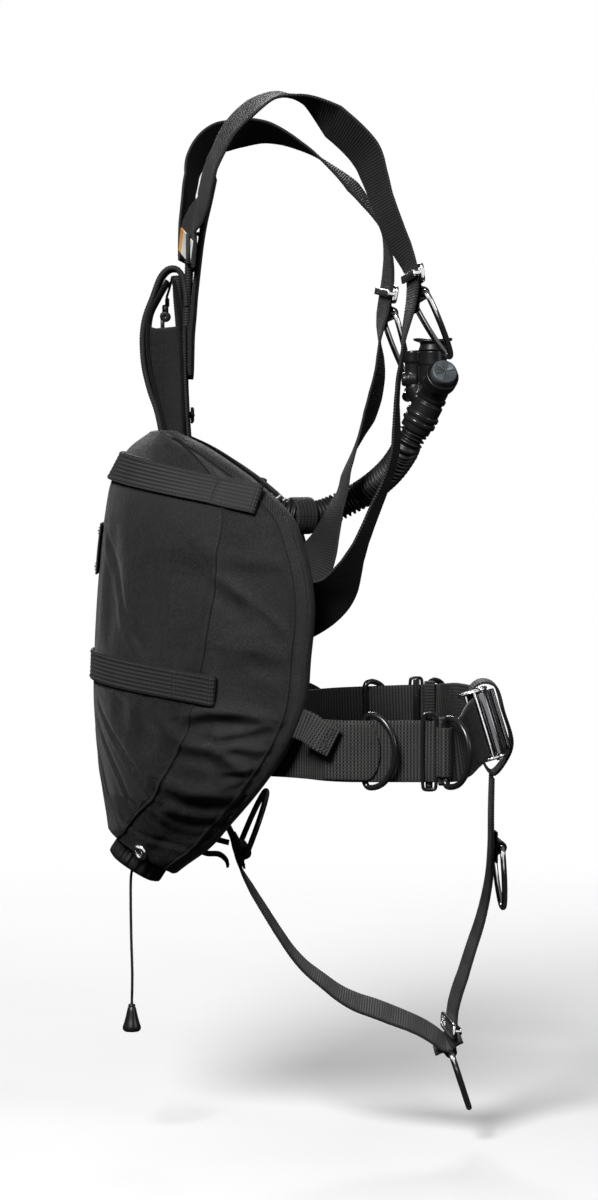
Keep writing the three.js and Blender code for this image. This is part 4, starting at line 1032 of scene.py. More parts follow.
def hose():
    in_port = lambda x: HOSE_PORT + [x, 0, 0]
    port = Shape().join(rod(in_port(-10), in_port(30), 12.8)).join(rod(in_port(28), in_port(36.4), 13.9))
    port.join(rod(in_port(10), in_port(14), 17, edge=1.0))
    piece("hose_elbow", port, PLASTIC, ["hose_port"])
    line = [
        in_port(36), in_port(42), (52, 98.5, 186), HOSE_KEEPER_AT, (85, 115, 184.5), (101, 120.5, 191),
        (120, 117, 201.5), (132.5, 105, 210.5), (146.5, 87.5, 224.5), (156, 74, 239),
        HOSE_JOINT - BARREL_UP * 12, HOSE_JOINT, HOSE_JOINT + BARREL_UP * 9,
    ]
    run = path(line, (-0.5, 0.2, 1), 0.55)
    wave = np.cos(2 * math.pi * run.s / HOSE_PITCH)
    radius = HOSE_R - 1.3 + 1.45 * np.sign(wave) * np.abs(wave) ** 0.6
    sections = round_section(1.0, 32)[None] * radius[:, None, None]
    obj = piece("hose_corrugated", sweep(run, sections), RUBBER, body=None)
    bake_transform(obj)
    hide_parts("hose_lower", "hose_upper")
    hose_clamps()
    turn = unit([1, 0.5, 0])
    side = unit(np.cross(turn, Z))
    loop = [HOSE_KEEPER_AT + (side * math.cos(t) + Z * math.sin(t)) * 15.3
            for t in np.linspace(0, 2 * math.pi, 24, endpoint=False)]
    around = path(loop, turn, 0.7, closed=True)
    keeper = webbing(around, 20, 2.0, rib=1.5, depth=0.08, groove=2.6, closed=True)
    piece("hose_keeper_loop", keeper, BAND, ["hose_keeper"])


def hose_clamps():
    """Two dark clamp bands where the hose meets the inflator."""
    shape = Shape()
    place = turn_about(HOSE_JOINT + BARREL_UP * 9, BARREL_UP, X)
    for low, high in ((0, 4.4), (6.2, 10.8)):
        band = [[11, low], [14.2, low], [15, low + 0.8], [15, high - 0.8], [14.2, high], [11, high]]
        shape.join(turned(band, 0.4, 64), place)
    piece("hose_clamp_bands", shape, BLACK_STEEL, ["hose_clamp"], body="inflator")
    core = turned([[9, -6], [13.2, -6], [13.2, 12], [9, 12]], 0.4, 48)
    piece("hose_cuff", core.at(place), RUBBER, body="inflator")


def inflator():
    face = from_joint(25.9, -38, 52.7)
    deep = lambda d: face + BUTTON_AXIS * d
    foot = HOSE_JOINT + BARREL_UP * 20.2
    up = lambda d: foot + BARREL_UP * d
    mouth = from_joint(16.5, -8, 70.5)
    press = from_joint(-6.5, -1, 46)
    body = Shape()
    body.join(rod(up(0), up(9.6), 13.4)).join(rod(up(8), up(23), 11.7)).join(rod(up(12.6), up(16.6), 13.1))
    body.join(rod(deep(-40), deep(-9), 12.6)).join(rod(deep(-18), deep(-7.6), 14.6, edge=1.2))
    body.join(rod(deep(-22.5), deep(-20.5), 13.3))
    body.join(rod(from_joint(16.5, -8, 40), mouth - [0, 0, 0.4], 11.6))
    body.join(rod(mouth - [0, 0, 12], mouth - [0, 0, 0.4], 12.2))
    body.join(rod(from_joint(8, -3, 22), from_joint(0, -1, 40), 7.6))
    body.join(rod(from_joint(0, -1, 38), from_joint(-0.5, -1, 70), 7.0, edge=2.5))
    body.join(rod(from_joint(-0.5, -1, 65), from_joint(16, -6, 65), 5.6))
    body.join(rod(from_joint(-0.3, -1, 60), from_joint(-0.5, -1, 71), 8.2, edge=1.5))
    body.join(rod(from_joint(3, -1, 46), press + [0.6, 0, 0], 8.2, edge=0.8))
    body.join(rod(from_joint(5, -4, 30), from_joint(1, -1.6, 39) + NIPPLE_WAY * 9, 6.6))
    skin = piece("inflator_moulding", body, PLASTIC, ["inflator_body"], body="inflator")
    fused(skin)
    well = turned([[11.6, -13], [14.4, -13], [14.4, -7.4], [13.6, -6.8], [11.6, -7.6]], 0.3, 64)
    piece("deflate_housing_rim", well.at(turn_about(face, BUTTON_AXIS, X)), PLASTIC, body="inflator")
    deflate_button(face)
    thumb = turned([[0.01, 0], [6, 0], [6, 4.8], [4.8, 6.2], [0.01, 6.4]], 0.5, 40)
    piece("inflate_button_cap", thumb.at(turn_about(press + [2.6, 0, 0], -X, Y)), BLACK_STEEL,
          ["inflate_button"], body="inflate")
    nipple = [[0.01, 0], [6, 0], [6, 3], [4.2, 3.6], [3.6, 4.4], [3.6, 9], [4.2, 9.8], [4.8, 10.6],
              [4.8, 13.4],
              [4.2, 14], [1.6, 14], [1.6, 11], [0.01, 11]]
    base = from_joint(1, -1.6, 39) + unit(NIPPLE_WAY) * 9.6
    piece("inlet_nipple_turning",
          turned(nipple, 0.25, 40).at(turn_about(base, unit(NIPPLE_WAY), X)), STEEL,
          ["inlet_nipple"], body="inflator")
    mouthpiece(mouth)


def deflate_button(face):
    """Grey button with six raised spokes, and its spring."""
    place = turn_about(face, BUTTON_AXIS, X)
    profile = [[0.01, -11], [11.2, -11], [11.2, -1.6], [11.0, -0.8], [10.4, -0.2], [9.6, 0], [9.2, -0.35],
               [0.01, -0.35]]
    shape = Shape().join(lathe(profile, 72), place)
    for k in range(6):
        turn = math.pi * k / 3 + 0.3
        spin = np.eye(4)
        spin[:2, :2] = [[math.cos(turn), -math.sin(turn)], [math.sin(turn), math.cos(turn)]]
        shape.join(block([5.0, 0, -0.1], [7.6, 1.3, 1.1], 0.4), place @ spin)
    piece("deflate_button_cap", shape, BUTTON, ["deflate_button"], body="deflate")
    spring = piece("deflate_spring_wire", spring_wire(7, -20.7, 8.6).at(place), STEEL, ["deflate_spring"],
                   body="inflator")
    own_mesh(spring)


def mouthpiece(base):
    """Soft mouthpiece with an oval bite lip."""
    stations = [(0, 12.4, 12.4), (1.5, 12.2, 12.2), (4.5, 11, 10.6), (6.6, 11.2, 10.2), (7.6, 15, 11.6),
                (8.2, 16.6, 12.8), (9.0, 17, 13), (10.0, 16.6, 12.7), (10.6, 15, 11.4), (10.2, 9.4, 8.6),
                (4, 7.6, 7.6), (0, 7.4, 7.4)]
    turn = np.arange(72) * 2 * math.pi / 72
    wave = 0.8 * np.cos(2 * turn)
    rows = [np.stack([a * np.cos(turn), b * np.sin(turn), h + wave * max(0, min(1, (h - 6) / 3))], axis=-1)
            for h, a, b in stations]
    shape = Shape().add(np.vstack(rows), [f[::-1] for f in grid_faces(len(rows), 72, close_rows=True)])
    piece("mouthpiece_rubber", shape.at(turn_about(base, Z, X)), RUBBER, ["mouthpiece"], body="inflator")


# ------------------------------------------------------------------ rings, folds and sliders

D_RING = [(27, 3), (27, 10), (23.5, 18), (14, 25.5), (0, 28.5)]
LONG_RING = [(28, 3), (28, 12), (25.5, 26), (18, 42), (9, 51), (0, 53.5)]
SIDE_RING = [(28.8, 3), (28.8, 10), (24.8, 18), (14.6, 25.5), (0, 28.5)]
CHEST_RING = [(28, 3), (28, 13), (23, 30), (15, 45), (7, 53.5), (0, 55.5)]


def ring(node, outline, material):
    """Bent wire ring on its joint's axis, reaching the way its CAD node does."""
    centre, bar = hinge_of(node + "_swing")
    wire = bpy.data.objects[node].data.vertices
    reach = np.mean([vertex.co for vertex in wire], axis=0) / MM - centre
    reach = unit(reach - bar * (reach @ bar))
    points = [(share * outline[0][0], 0) for share in (-0.84, -0.4, 0.4, 0.84)]
    points += outline + [(-x, z) for x, z in outline[::-1] if x > 0]
    line = [centre + bar * x + reach * z for x, z in points]
    out = np.cross(bar, reach)
    shape = sweep(path(line, out, 0.9, closed=True), round_section(WIRE_R, 20), closed=True)
    piece(node + "_wire", shape, material, [node], body=node.replace("_ring", "_d"))


def fold(name, centre, bar, strap_out, width, body="harness", material=STRAP, leg=15, rib=2.2):
    """Webbing folded round a ring's bar, its two legs sewn flat on the strap below."""
    along = unit(np.cross(bar, strap_out))
    drop = HOLD_OUT - WEB_T / 2 - 1.2
    corners = [(-leg, -drop), (-leg * 0.6, -drop), (-5.6, -drop + 0.5), (-4.6, -1.2)]
    arc = [(-FOLD_R * math.cos(t), FOLD_R * math.sin(t)) for t in np.radians([10, 45, 90, 135, 170])]
    corners += arc + [(-x, y) for x, y in corners[::-1]]
    line = [centre + along * x + strap_out * y for x, y in corners]
    run = path(line, bar, 0.7)
    piece(name, webbing(run, width, 2.0, rib=rib, depth=0.1), material, body=body)
    ends = []
    for x in (-leg + 2.5, -leg + 8, leg - 8, leg - 2.5):
        middle = centre + along * x + strap_out * (-drop + 1.25)
        reach = np.linspace(-width / 2 + 3, width / 2 - 3, 20)
        ends += stitch_line([middle + bar * w for w in reach], 3.0, 2.3)
    piece(name + "_thread", threads(ends), THREAD, body=body)


def slider(node, origin, across, out, length, bar, material, body="harness"):
    """Strap adjuster: a rounded frame in front of the strap and a bar behind it."""
    m = np.eye(4)
    along = np.cross(across, out)
    m[:3, 0], m[:3, 1], m[:3, 2], m[:3, 3] = across, out, along, origin
    lift = 1.3 + 0.4 + bar / 2
    x, z = 31 - bar / 2 + 1.0, length / 2 - bar / 2
    corner = 2.2
    outline = []
    for sx, sz, start in ((1, 1, 0), (-1, 1, 90), (-1, -1, 180), (1, -1, 270)):
        for t in np.radians([start, start + 45, start + 90]):
            outline.append((sx * (x - corner) + corner * math.cos(t), lift,
                            sz * (z - corner) + corner * math.sin(t)))
    half = bar / 2
    section = softened([[-half, -half], [half, -half], [half, half], [-half, half]], bar * 0.3)
    shape = sweep(path(outline, Y, 0.8, closed=True), section, closed=True)
    shape.join(block([0, -lift, 0], [WEB + 10, bar * 0.8, bar * 2.1], 0.5))
    for s in (-1, 1):
        shape.join(block([s * (WEB / 2 + 3.5), 0, 0], [3.6, 2 * lift + bar * 0.7, bar * 1.2], 0.5))
    piece(node + "_plate", shape.at(m), material, [node], body=body)


# ------------------------------------------------------------------ shoulder harness

# Shoulder straps, back to front: forward, sideways, up, and how far the neck edge leans out.
RIGHT_STRAP = [
    (-28.6, -33.5, 400, 17), (-27.3, -37.2, 412, 17), (-25.5, -41.5, 424, 17), (-22.3, -46, 433, 16),
    (-17.5, -52, 441, 15), (-13.9, -58, 450, 14), (-8.8, -68, 468, 13), (-4.3, -74, 481, 13),
    (9, -82, 505.5, 17), (24.7, -86, 520.5, 19), (45, -90, 530.4, 12), (66, -94, 527.5, 0),
    (92.8, -98, 509.5, -28), (119, -100, 483.4, -28), (126.5, -100.5, 465, -23),
    (132.5, -101, 446.6, -19), (141.4, -101.5, 422, -19), (149, -102, 405.7, -16),
    (154.5, -102.5, 393.4, -11), (157.3, -103, 384, -8), (157.2, -103.5, 368.5, -7),
    (155.4, -104, 356, -6), (152.5, -106, 342, -3), (150, -108, 328, 1), (148.2, -110, 312.7, 4),
    (145.8, -113, 298, 4), (144.8, -116, 284.5, 4), (144.4, -119, 270, 6), (144, -121, 255, 8),
    (142.8, -123, 241, 8), (139.1, -125, 226, 8), (133.6, -127, 211, 9), (127.3, -128, 196.5, 11),
    (121.3, -129, 182, 12), (115, -128, 167, 14), (108.2, -126, 152.6, 20), (97.2, -121, 132.5, 37),
    (83.6, -112, 120, 53), (62, -94, 108, 70), (30, -62, 98, 84), (2, -34, 95, 90),
    (-9.6, -13, 94, 90),
]
LEFT_STRAP = [
    (-31, 42, 400, 14), (-31, 43.5, 414, 14), (-30.8, 46, 430, 14), (-30, 50, 450, 11),
    (-28.8, 56, 469, 9), (-26, 62, 486, 14), (-19, 68, 499, 19), (-7, 76, 509, 23), (8, 82, 514, 24),
    (20, 85, 516, 23), (35.5, 88, 516, 17), (51.9, 90.5, 511.5, 9), (66, 92, 505, 3),
    (79.1, 93, 497.5, -2), (98.3, 93.5, 482.5, -9), (111.8, 94, 470, -15), (123.7, 94, 455.3, -11),
    (133, 94, 441, -5), (139.2, 94, 428, 0), (142.3, 94, 413, 5), (143, 94, 400, 8),
    (142.4, 94.5, 387, 10), (140.9, 95, 378, 10), (137.9, 96, 359.5, 9), (136.2, 96.5, 348, 5),
    (135.6, 97, 337.8, 0), (136.1, 97, 322, -7), (135.4, 97, 306, -11), (131.8, 96, 288, -14),
    (126.3, 95, 270, -13), (119.2, 93, 254.5, -6), (112.3, 88, 238.7, 0), (106.7, 82, 223, 5),
    (102.8, 77, 206.7, 7), (97, 73, 190.9, 13), (88.5, 70, 167.2, 24), (80, 66, 150, 38),
    (66, 58, 133, 60), (42, 46, 116, 80), (12, 30, 104, 90), (-9.6, 13, 102, 90),
]


def leaning_path(rows, neckwards, step=0.73):
    rows = np.array(rows, float)
    place = np.linspace(0, 1, len(rows))

    def across(share, t):
        lean = np.radians(np.interp(share, place, rows[:, 3]))[:, None]
        out = unit(np.stack([-t[:, 2], np.zeros(len(t)), t[:, 0]], axis=1))
        return neckwards * Y * np.cos(lean) + out * np.sin(lean)

    return path(rows[:, :3], across, step)


def nearest(run, point):
    return int(np.argmin(np.linalg.norm(run.p - np.asarray(point, float), axis=1)))


def chest_side(side, rows, neckwards, slider_at):
    run = leaning_path(rows, neckwards)
    piece(f"shoulder_web_{side}", webbing(run), STRAP, [f"shoulder_strap_{side}"])
    hold, bar = hinge_of(f"chest_ring_{side}_swing")
    k = nearest(run, hold)
    out = unit(hold - run.p[k])
    out = unit(out - bar * (out @ bar))
    fold(f"chest_fold_{side}", hold, bar, out, 38)
    ring(f"chest_ring_{side}", CHEST_RING, STEEL)
    k = nearest(run, slider_at)
    out = run.n[k] * np.sign(run.n[k][0])
    slider(f"chest_slider_{side}", run.p[k], run.a[k], out, 15, 3, STEEL)
    return run


def shoulder_harness():
    right = chest_side("right", RIGHT_STRAP, 1, (157.3, -103, 384))
    left = chest_side("left", LEFT_STRAP, -1, (140.9, 95, 378))
    box_stitches("shoulder_right_back", right, WEB, [(3, 24)], 1)
    box_stitches("shoulder_left_back", left, WEB, [(3, 24)], -1)
    shoulder_plate(right)
    spine = in_plane([
        (-31.2, 346), (-30.8, 322), (-30.4, 298), (-29.4, 275), (-28.2, 256), (-23.5, 195), (-17.5, 130),
        (-13.5, 70), (-11.5, 20), (-11.5, -18),
    ])
    run = path(spine, Y, 0.73)
    piece("spine_web", webbing(run), STRAP, ["spine_strap"])
    box_stitches("spine", run, WEB, [(4, 28), (-28, -6)], -1)
    profile = [
        [0.01, -2.9], [6.3, -2.9], [6.7, -2.3], [6.3, -1.6], [3, -1.6], [3, 2.6], [7.2, 2.6], [7.2, 4.0],
        [5.6, 5.4], [0.01, 5.6],
    ]
    screw = turned(profile, 0.3, 48)
    place = turn_about([-29.2, 0, 271], X, Y)
    slot_cut = block([0, 0, 5.7], [9.5, 1.2, 0.5], 0.2)
    piece("book_screw_head", Shape().join(screw, place).join(slot_cut, place), BLACK_STEEL, ["book_screw"])


def shoulder_plate(right):
    """Stiff spine pad between the straps, ribbed webbing folds on it, and the blank label."""
    pad = in_plane([
        (-6.6, 471), (-10.6, 452), (-14.4, 436), (-17.4, 419), (-19.6, 402), (-21.5, 385), (-23, 371),
        (-24.2, 355), (-25.6, 339), (-26.2, 320), (-26.6, 301),
    ])
    run = path(pad, Y, 0.8)
    shape = webbing(run, WEB, 4.2, rib=1.6, depth=0.06, rounded=14)
    piece("shoulder_pad", shape, FABRIC, ["shoulder_plate"])
    rim = Shape()
    for s in (-1, 1):
        rim.join(tube(run.p[::6] + run.a[::6] * s * (WEB / 2 - 0.6), 1.7, 10, 1.0, side=Y))
    piece("shoulder_pad_piping", rim, BINDING)
    tabs = Shape()
    for fold_line in (
        [(-13, 455), (-18, 453), (-21.6, 448), (-21.2, 436), (-18.6, 430), (-16.6, 426)],
        [(-20, 440), (-27, 439), (-31.6, 435), (-31.2, 428), (-26, 424), (-19.6, 424)],
    ):
        tabs.join(webbing(path(in_plane(fold_line, 5), Y, 0.6), 24, 2.0, rib=2.4, depth=0.3))
    piece("shoulder_pad_tabs", tabs, BAND)
    yoke = [(-27.0, -54, 409), (-26.4, -34, 407), (-23.6, -14, 405), (-23.4, 14, 405), (-27.0, 34, 407),
            (-28.4, 62, 409)]
    shape = webbing(path(yoke, Z, 0.73), 26, 3.4)
    piece("shoulder_yoke_web", shape, STRAP)
    k = nearest(right, (-27.3, -37.2, 412))
    back = -right.n[k] * np.sign(right.n[k][0])
    place = turn_about(right.p[k] + back * 2.2, back, right.a[k])
    outline = softened([[-20, -10], [20, -10], [20, 10], [-20, 10]], 1.2)
    rows = [np.column_stack([outline * s, np.full(len(outline), h)]) for s, h in
            ((1, -0.6), (1, 0.3), (0.985, 0.5), (0.96, 0.42))]
    flat = np.vstack(rows)
    patch = Shape().add(flat, grid_faces(len(rows), len(outline), capped=True), flat[:, :2] * MM)
    piece("blank_label", patch.at(place), LABEL, ["label_patch"])


# ------------------------------------------------------------------ trim pocket


def trim_pocket():
    leaf = in_plane([
        (-29.6, 362), (-30.4, 374), (-32.6, 386), (-37.5, 393.4), (-44, 393.8), (-50.6, 388),
        (-58.2, 369.5), (-64.2, 353.4), (-66.4, 340.8), (-66.6, 326.5), (-65.1, 310.7), (-60.6, 291.7),
        (-54.7, 274.3), (-50.4, 254),
    ])
    run = path(leaf, Y, 0.73)
    piece("trim_web", webbing(run, 46, 4.4, rib=2.4, depth=0.22), STRAP, ["trim_strap"])
    front = [(-40.5, 384), (-38, 371), (-35.2, 345), (-34.4, 324), (-33.2, 294), (-32.2, 253)]
    back = [(-46, 253), (-55.4, 289), (-60.8, 314), (-62.4, 338), (-60.4, 356), (-53.6, 370), (-45.6, 384)]
    shape = Shape()
    for line in (front, back):
        shape.join(webbing(path(in_plane(line), Y, 0.9), 43, 2.0, rib=1.3, depth=0.05))
    piece("trim_pouch_walls", shape, FABRIC, ["trim_pocket"])
    trim_pouch_sides()
    lining = in_plane([(-37.5, 388), (-37, 372), (-35.4, 352), (-33.6, 328)])
    shape = webbing(path(lining, Y, 0.8), 40, 8, rib=2.4, depth=0.2)
    lining = in_plane([(-27.6, 400), (-28.6, 375), (-29.6, 350), (-30.2, 325), (-30.6, 306)])
    shape.join(webbing(path(lining, Y, 0.8), 44, 6, rib=2.4, depth=0.2))
    piece("trim_lining_web", shape, STRAP)
    binding = Shape()
    for side in (-1, 1):
        for line in (front, back):
            edge = path(in_plane(line, side * 21.6), (1, 0, 0.2), 0.8)
            binding.join(webbing(edge, 3.4, 3.4, rib=1.1, depth=0.05))
    piece("trim_binding", binding, BINDING)
    lock = Shape().join(rod([-48, -8, 354], [-48, 8, 354], 4.4, edge=1.0))
    lock.join(block([-48, 0, 359.5], [5, 12, 9], 1.0)).join(block([-50.4, 0, 347], [3, 14, 12], 1.0))
    lock.join(block([-46.4, 0, 366], [3.4, 9, 8], 1.0))
    piece("trim_buckle_moulding", lock, PLASTIC, ["trim_buckle"])
    cord = in_plane([(-47, 370), (-44.5, 378), (-42, 388)])
    piece("trim_buckle_web", webbing(path(cord, Y, 0.8), 12, 1.6, rib=1.4, depth=0.08), BAND)


def trim_pouch_sides():
    """Lower side panels of the pouch, slightly sunk between their bindings."""
    heights = np.linspace(253, 346, 34)
    back = np.interp(heights, [253, 289, 314, 338], [-46.4, -56.0, -61.2, -62.8])
    front = np.interp(heights, [253, 294, 324, 345], [-31.8, -32.6, -33.8, -34.6])
    across = np.linspace(0, 1, 16)
    x = front[:, None] + (back - front)[:, None] * across
    sink = 2.4 * np.sin(math.pi * across)[None] * np.sin(math.pi * np.linspace(0.06, 0.94, 34))[:, None]
    z = np.repeat(heights[:, None], 16, axis=1)
    sag = 3.0 * np.sin(math.pi * across)[None] * np.linspace(0, 1, 34)[:, None] ** 6
    shape = Shape()
    for side in (-1, 1):
        outer = np.stack([x, side * (21 - sink), z - sag], axis=-1)
        inner = np.stack([x, side * (19.8 - sink), z - sag], axis=-1)
        loop = np.concatenate([outer, inner[:, ::-1]], axis=1)
        uv = loop[..., [0, 2]].reshape(-1, 2) * MM
        faces = grid_faces(*loop.shape[:2], capped=True)
        shape.add(loop, faces if side > 0 else [f[::-1] for f in faces], uv)
    piece("trim_pouch_sides", shape, POUCH)


# ------------------------------------------------------------------ waist

BELT_PLAN = [
    (-7, 8, 0, 0), (-7, 50, 0, 0), (-2, 72, 0, 0), (18, 93, 0, 0), (38, 105, 0, 1), (58, 116, 0, 1),
    (72, 127, 0, 2), (86, 142, 0, 2.5), (103, 150.6, 0, 3), (118, 152, 0, 3.5), (142, 152, 0, 4.4),
    (166, 152, 0, 5.2), (185, 152, 0, 5.6), (193, 149.6, 0.6, 6.2), (199.4, 140, 3, 7.5),
    (206, 118, 7.5, 9.8),
    (211, 98, 10.5, 11.5),
]
FRONT_LEAN = np.array([-0.29, 0.06, 0.955])
BUCKLE_AT = np.array([218.9, -58, 13.4])
BUCKLE_ALONG = unit([0.22, 0.975, 0])


def belt_path(side, step=0.73):
    plan = [(x, side * y, right if side < 0 else left) for x, y, right, left in BELT_PLAN]
    if side < 0:
        plan += [(218.9, -58, 13.4), (227, -20, 13.6), (230.4, 2, 13.6), (231.6, 22, 13.6)]
    else:
        plan += [(219, 58, 13.4), (225.4, 24, 13.6), (224.6, -6, 13.6), (219, -34, 13.4),
                 (213.6, -52, 13.2)]

    def across(share, _):
        t = np.clip((share - 0.6) / 0.22, 0, 1)[:, None]
        ease = t * t * (3 - 2 * t)
        return Z * (1 - ease) + FRONT_LEAN * ease

    return path(plan, across, step)


def belt(name, side):
    run = belt_path(side)
    shape = webbing(run, rib=2.7, depth=0.2)
    sideways = run.p[:, 1] * side
    ahead = run.p[:, 0] - hinge_of(f"side_ring_{name}_swing")[0][0]
    straight = (ahead > -32) & (ahead < 12.5) & (sideways > 60)
    out = np.sign(run.n[straight][0] @ (Y * side))
    p, a, n, s = (v[straight] for v in run)
    layer = Path(p + n * out * 2.3, a, n, s - s[0])
    shape.join(webbing(layer, WEB - 3, 2.2, rib=2.7, depth=0.2, rounded=11))
    piece(f"waist_web_{name}", shape, BELT, [f"waist_belt_{name}"])
    front = run.p[:, 0] > 196
    tail = Path(*(v[front] for v in run))
    box_stitches(f"belt_front_{name}", Path(tail.p, tail.a, tail.n, tail.s - tail.s[0]), WEB, [(4, 26)], 1)
    ring(f"side_ring_{name}", SIDE_RING, BLACK_STEEL)
    adjuster(name, side)


def adjuster(name, side):
    """Slider and webbing keeper that travel along the belt, with their ring."""
    body = f"adjuster_{name}"
    low, high = (np.array(corner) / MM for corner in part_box(f"front_slider_{name}"))
    middle = (low + high) / 2
    origin = np.array([middle[0], side * 152, middle[2]])
    slider(f"front_slider_{name}", origin, -Z * side, Y * side, 13, 2.8, BLACK_STEEL, body)
    hold, _ = hinge_of(f"front_ring_{name}_swing")
    half = 25 + 1.6
    outline = [(0, half), (3.2, half - 0.4), (3.7, half - 2), (3.7, 0), (3.7, -half + 2),
               (3.2, -half + 0.4)]
    outline += [(-y, -z) for y, z in outline]
    line = [(hold[0], side * (152 + y), hold[2] + z) for y, z in outline]
    loop = webbing(path(line, X, 0.7, closed=True), 9.5, 1.9, rib=1.4, depth=0.08, closed=True)
    piece(f"front_keeper_loop_{name}", loop, BELT, [f"front_keeper_{name}"], body=body)
    fold(f"front_fold_{name}", hold + Y * side * 0.6, Z, Y * side, 40, body, BELT, 6.5, 2.7)
    ring(f"front_ring_{name}", D_RING, BLACK_STEEL)


def buckle():
    lean = unit(FRONT_LEAN - BUCKLE_ALONG * (FRONT_LEAN @ BUCKLE_ALONG))
    out = np.cross(BUCKLE_ALONG, lean)
    place = np.eye(4)
    place[:3, 0], place[:3, 1], place[:3, 2], place[:3, 3] = BUCKLE_ALONG, lean, out, BUCKLE_AT
    ear = 28.6  # from the middle to the plates at the belt's edges
    tall = 2 * ear + 3
    shape = Shape()
    for centre, size in (
        ([-17.5, 0, 3.4], [4, tall, 2.6]), ([17.5, 0, 3.4], [4, tall, 2.6]),
        ([-15, 0, -4.8], [4, tall, 2.6]), ([13, 0, -9.6], [4, tall, 2.6]),
    ):
        shape.join(block(centre, size, 0.9))
    for s in (-1, 1):
        shape.join(block([0, s * ear, -1], [39, 3, 19.6], 1.2))
        shape.join(block([-11.5, s * ear, 9], [10, 3, 7], 1.2))
    piece("buckle_frame_plate", shape.at(place), STEEL, ["buckle_frame"])
    half = ear - 2
    barrel = rod([-11.5, -half, 7.6], [-11.5, half, 7.6], 5.0, edge=0.8)
    line = in_plane([(-11.5, 11.6), (-7, 11.8), (0, 11.2), (8, 10.4), (13, 10.2), (16.2, 10.4), (17.4, 12),
                     (16.8, 13.2)])
    blade = sweep(path(line, Y, 0.8), slab_section(2 * half, 2.2)[0])
    shape = Shape().join(barrel, place).join(blade, place)
    piece("buckle_lever_plate", shape, DARK_CHROME, ["buckle_lever"], body="lever")
    pin = Shape()
    for s in (-1, 1):
        pin.join(rod([-11.5, s * (half + 0.4), 7.6], [-11.5, s * (ear + 2.4), 7.6], 2.0, edge=0.5))
        pin.join(rod([-11.5, s * (ear + 1.5), 7.6], [-11.5, s * (ear + 2.9), 7.6], 3.4, edge=0.7))
    piece("buckle_pin_ends", pin.at(place), STEEL, ["buckle_pin"])


def waist():
    corners = [[-58, -30], [-46, -44], [46, -44], [58, -30]]
    outline = softened(corners + [[-x, -y] for x, y in corners], 6)
    dense = catmull_rom(outline, np.linspace(0, 1, 121)[:-1], closed=True)
    edge = ((9, 0.15), (3, 0.0), (1.2, 0.4), (0.2, 1.4), (0, 2.2), (0.4, 3.0), (1.8, 3.8), (6, 4.0),
            (16, 4.0))
    flat = np.vstack([np.column_stack([dense * (1 - inset / 50), np.full(len(dense), height)])
                      for inset, height in edge])
    pad = Shape().add(flat, grid_faces(len(edge), len(dense), capped=True), flat[:, :2] * MM)
    place = turn_about([0, 0, 0], -X, Y)
    piece("lumbar_pad", pad.at(place), FABRIC, ["lumbar_plate"])
    rim = [np.array([x, y, 2.0]) for x, y in dense[::3]]
    piping = sweep(path(rim, Z, 0.8, closed=True), round_section(1.9, 10), closed=True)
    piece("lumbar_pad_piping", piping.at(place), BINDING)
    for name, side in (("right", -1), ("left", 1)):
        belt(name, side)
    buckle()


# ------------------------------------------------------------------ crotch strap


def crotch():
    rows = [
        (-16, 0, 14, 0), (-15, 0, -24, 0), (-7, 0, -54, -4), (3, 0, -76, -8), (9.5, 0, -90, -8),
        (11.9, 0, -100, -8), (14.8, 0, -114, -4), (24.6, 0, -132.7, 0), (35.8, 0, -151, 1),
        (47.1, 0, -169, 1.5), (59.7, 0, -187.5, 2), (71, 0, -200, 3), (85, 0, -211.3, 4.5),
        (99, 0, -222, 6), (113, 0, -229.6, 8), (130, 0, -235.6, 9), (144, 0, -241, 9),
        (158, 0, -246.5, 8), (170, 0, -252, 8), (180.6, 0, -258.6, 8), (187.2, 0, -263.6, 8),
        (191.8, 0, -264.6, 8), (194.9, 0, -260, 8), (195.4, 0, -250, 7), (196.6, 0, -235.2, 6),
        (200, 0, -221.2, 5.5), (204.8, 0, -207, 5), (209, 0, -193, 4.5), (213.4, 0, -179, 4),
        (218, 0, -165, 3.5), (221.8, 0, -151, 3), (224.8, 0, -137, 2.5), (227.4, 0, -120, 2),
        (228.6, 0, -95, 1), (228.6, 0, -66, 0.5), (229.2, 0, -36, 0),
    ]
    run = leaning_path(rows, 1)
    piece("crotch_web", webbing(run, rib=2.4, depth=0.18), STRAP, ["crotch_strap"])
    for name, material in (("crotch_ring_upper", STEEL), ("crotch_ring_lower", STEEL),
                           ("butt_ring", BLACK_STEEL)):
        hold, bar = hinge_of(name + "_swing")
        k = nearest(run, hold)
        out = unit(hold - run.p[k])
        out = unit(out - bar * (out @ bar))
        fold(name + "_fold", hold, bar, out, 40, leg=13)
        ring(name, LONG_RING, material)
    k = nearest(run, (195.4, 0, -250))
    out = run.n[k] * np.sign(run.n[k][0])
    slider("crotch_slider", run.p[k], run.a[k], -out, 13, 2.6, STEEL)
    loop = in_plane([
        (229.4, -33), (241, -20), (245.6, -6), (238.6, 20), (231, 42), (220, 45), (211.4, 38),
        (215.6, 16), (219.6, -6), (220.4, -20),
    ])
    around = webbing(path(loop, Y, 0.73, closed=True), 42, 2.0, rib=2.4, depth=0.15, closed=True)
    piece("crotch_loop_web", around, STRAP, ["crotch_loop"])
    tie = in_plane([(-36, -86), (-32, -88), (-12, -89), (5.4, -93)])
    tail = in_plane([(-34, -86), (-26, -96), (-14, -102), (-3, -103), (3, -108), (4.4, -113)])
    shape = webbing(path(tie, Y, 0.75), 25, 2.2, rib=1.5, depth=0.1, groove=2.6)
    shape.join(webbing(path(tail, Y, 0.75), 25, 2.2, rib=1.5, depth=0.1, groove=2.6))
    piece("wing_lower_tie_web", shape, BAND, ["wing_lower_tie"])


# ------------------------------------------------------------------ stage


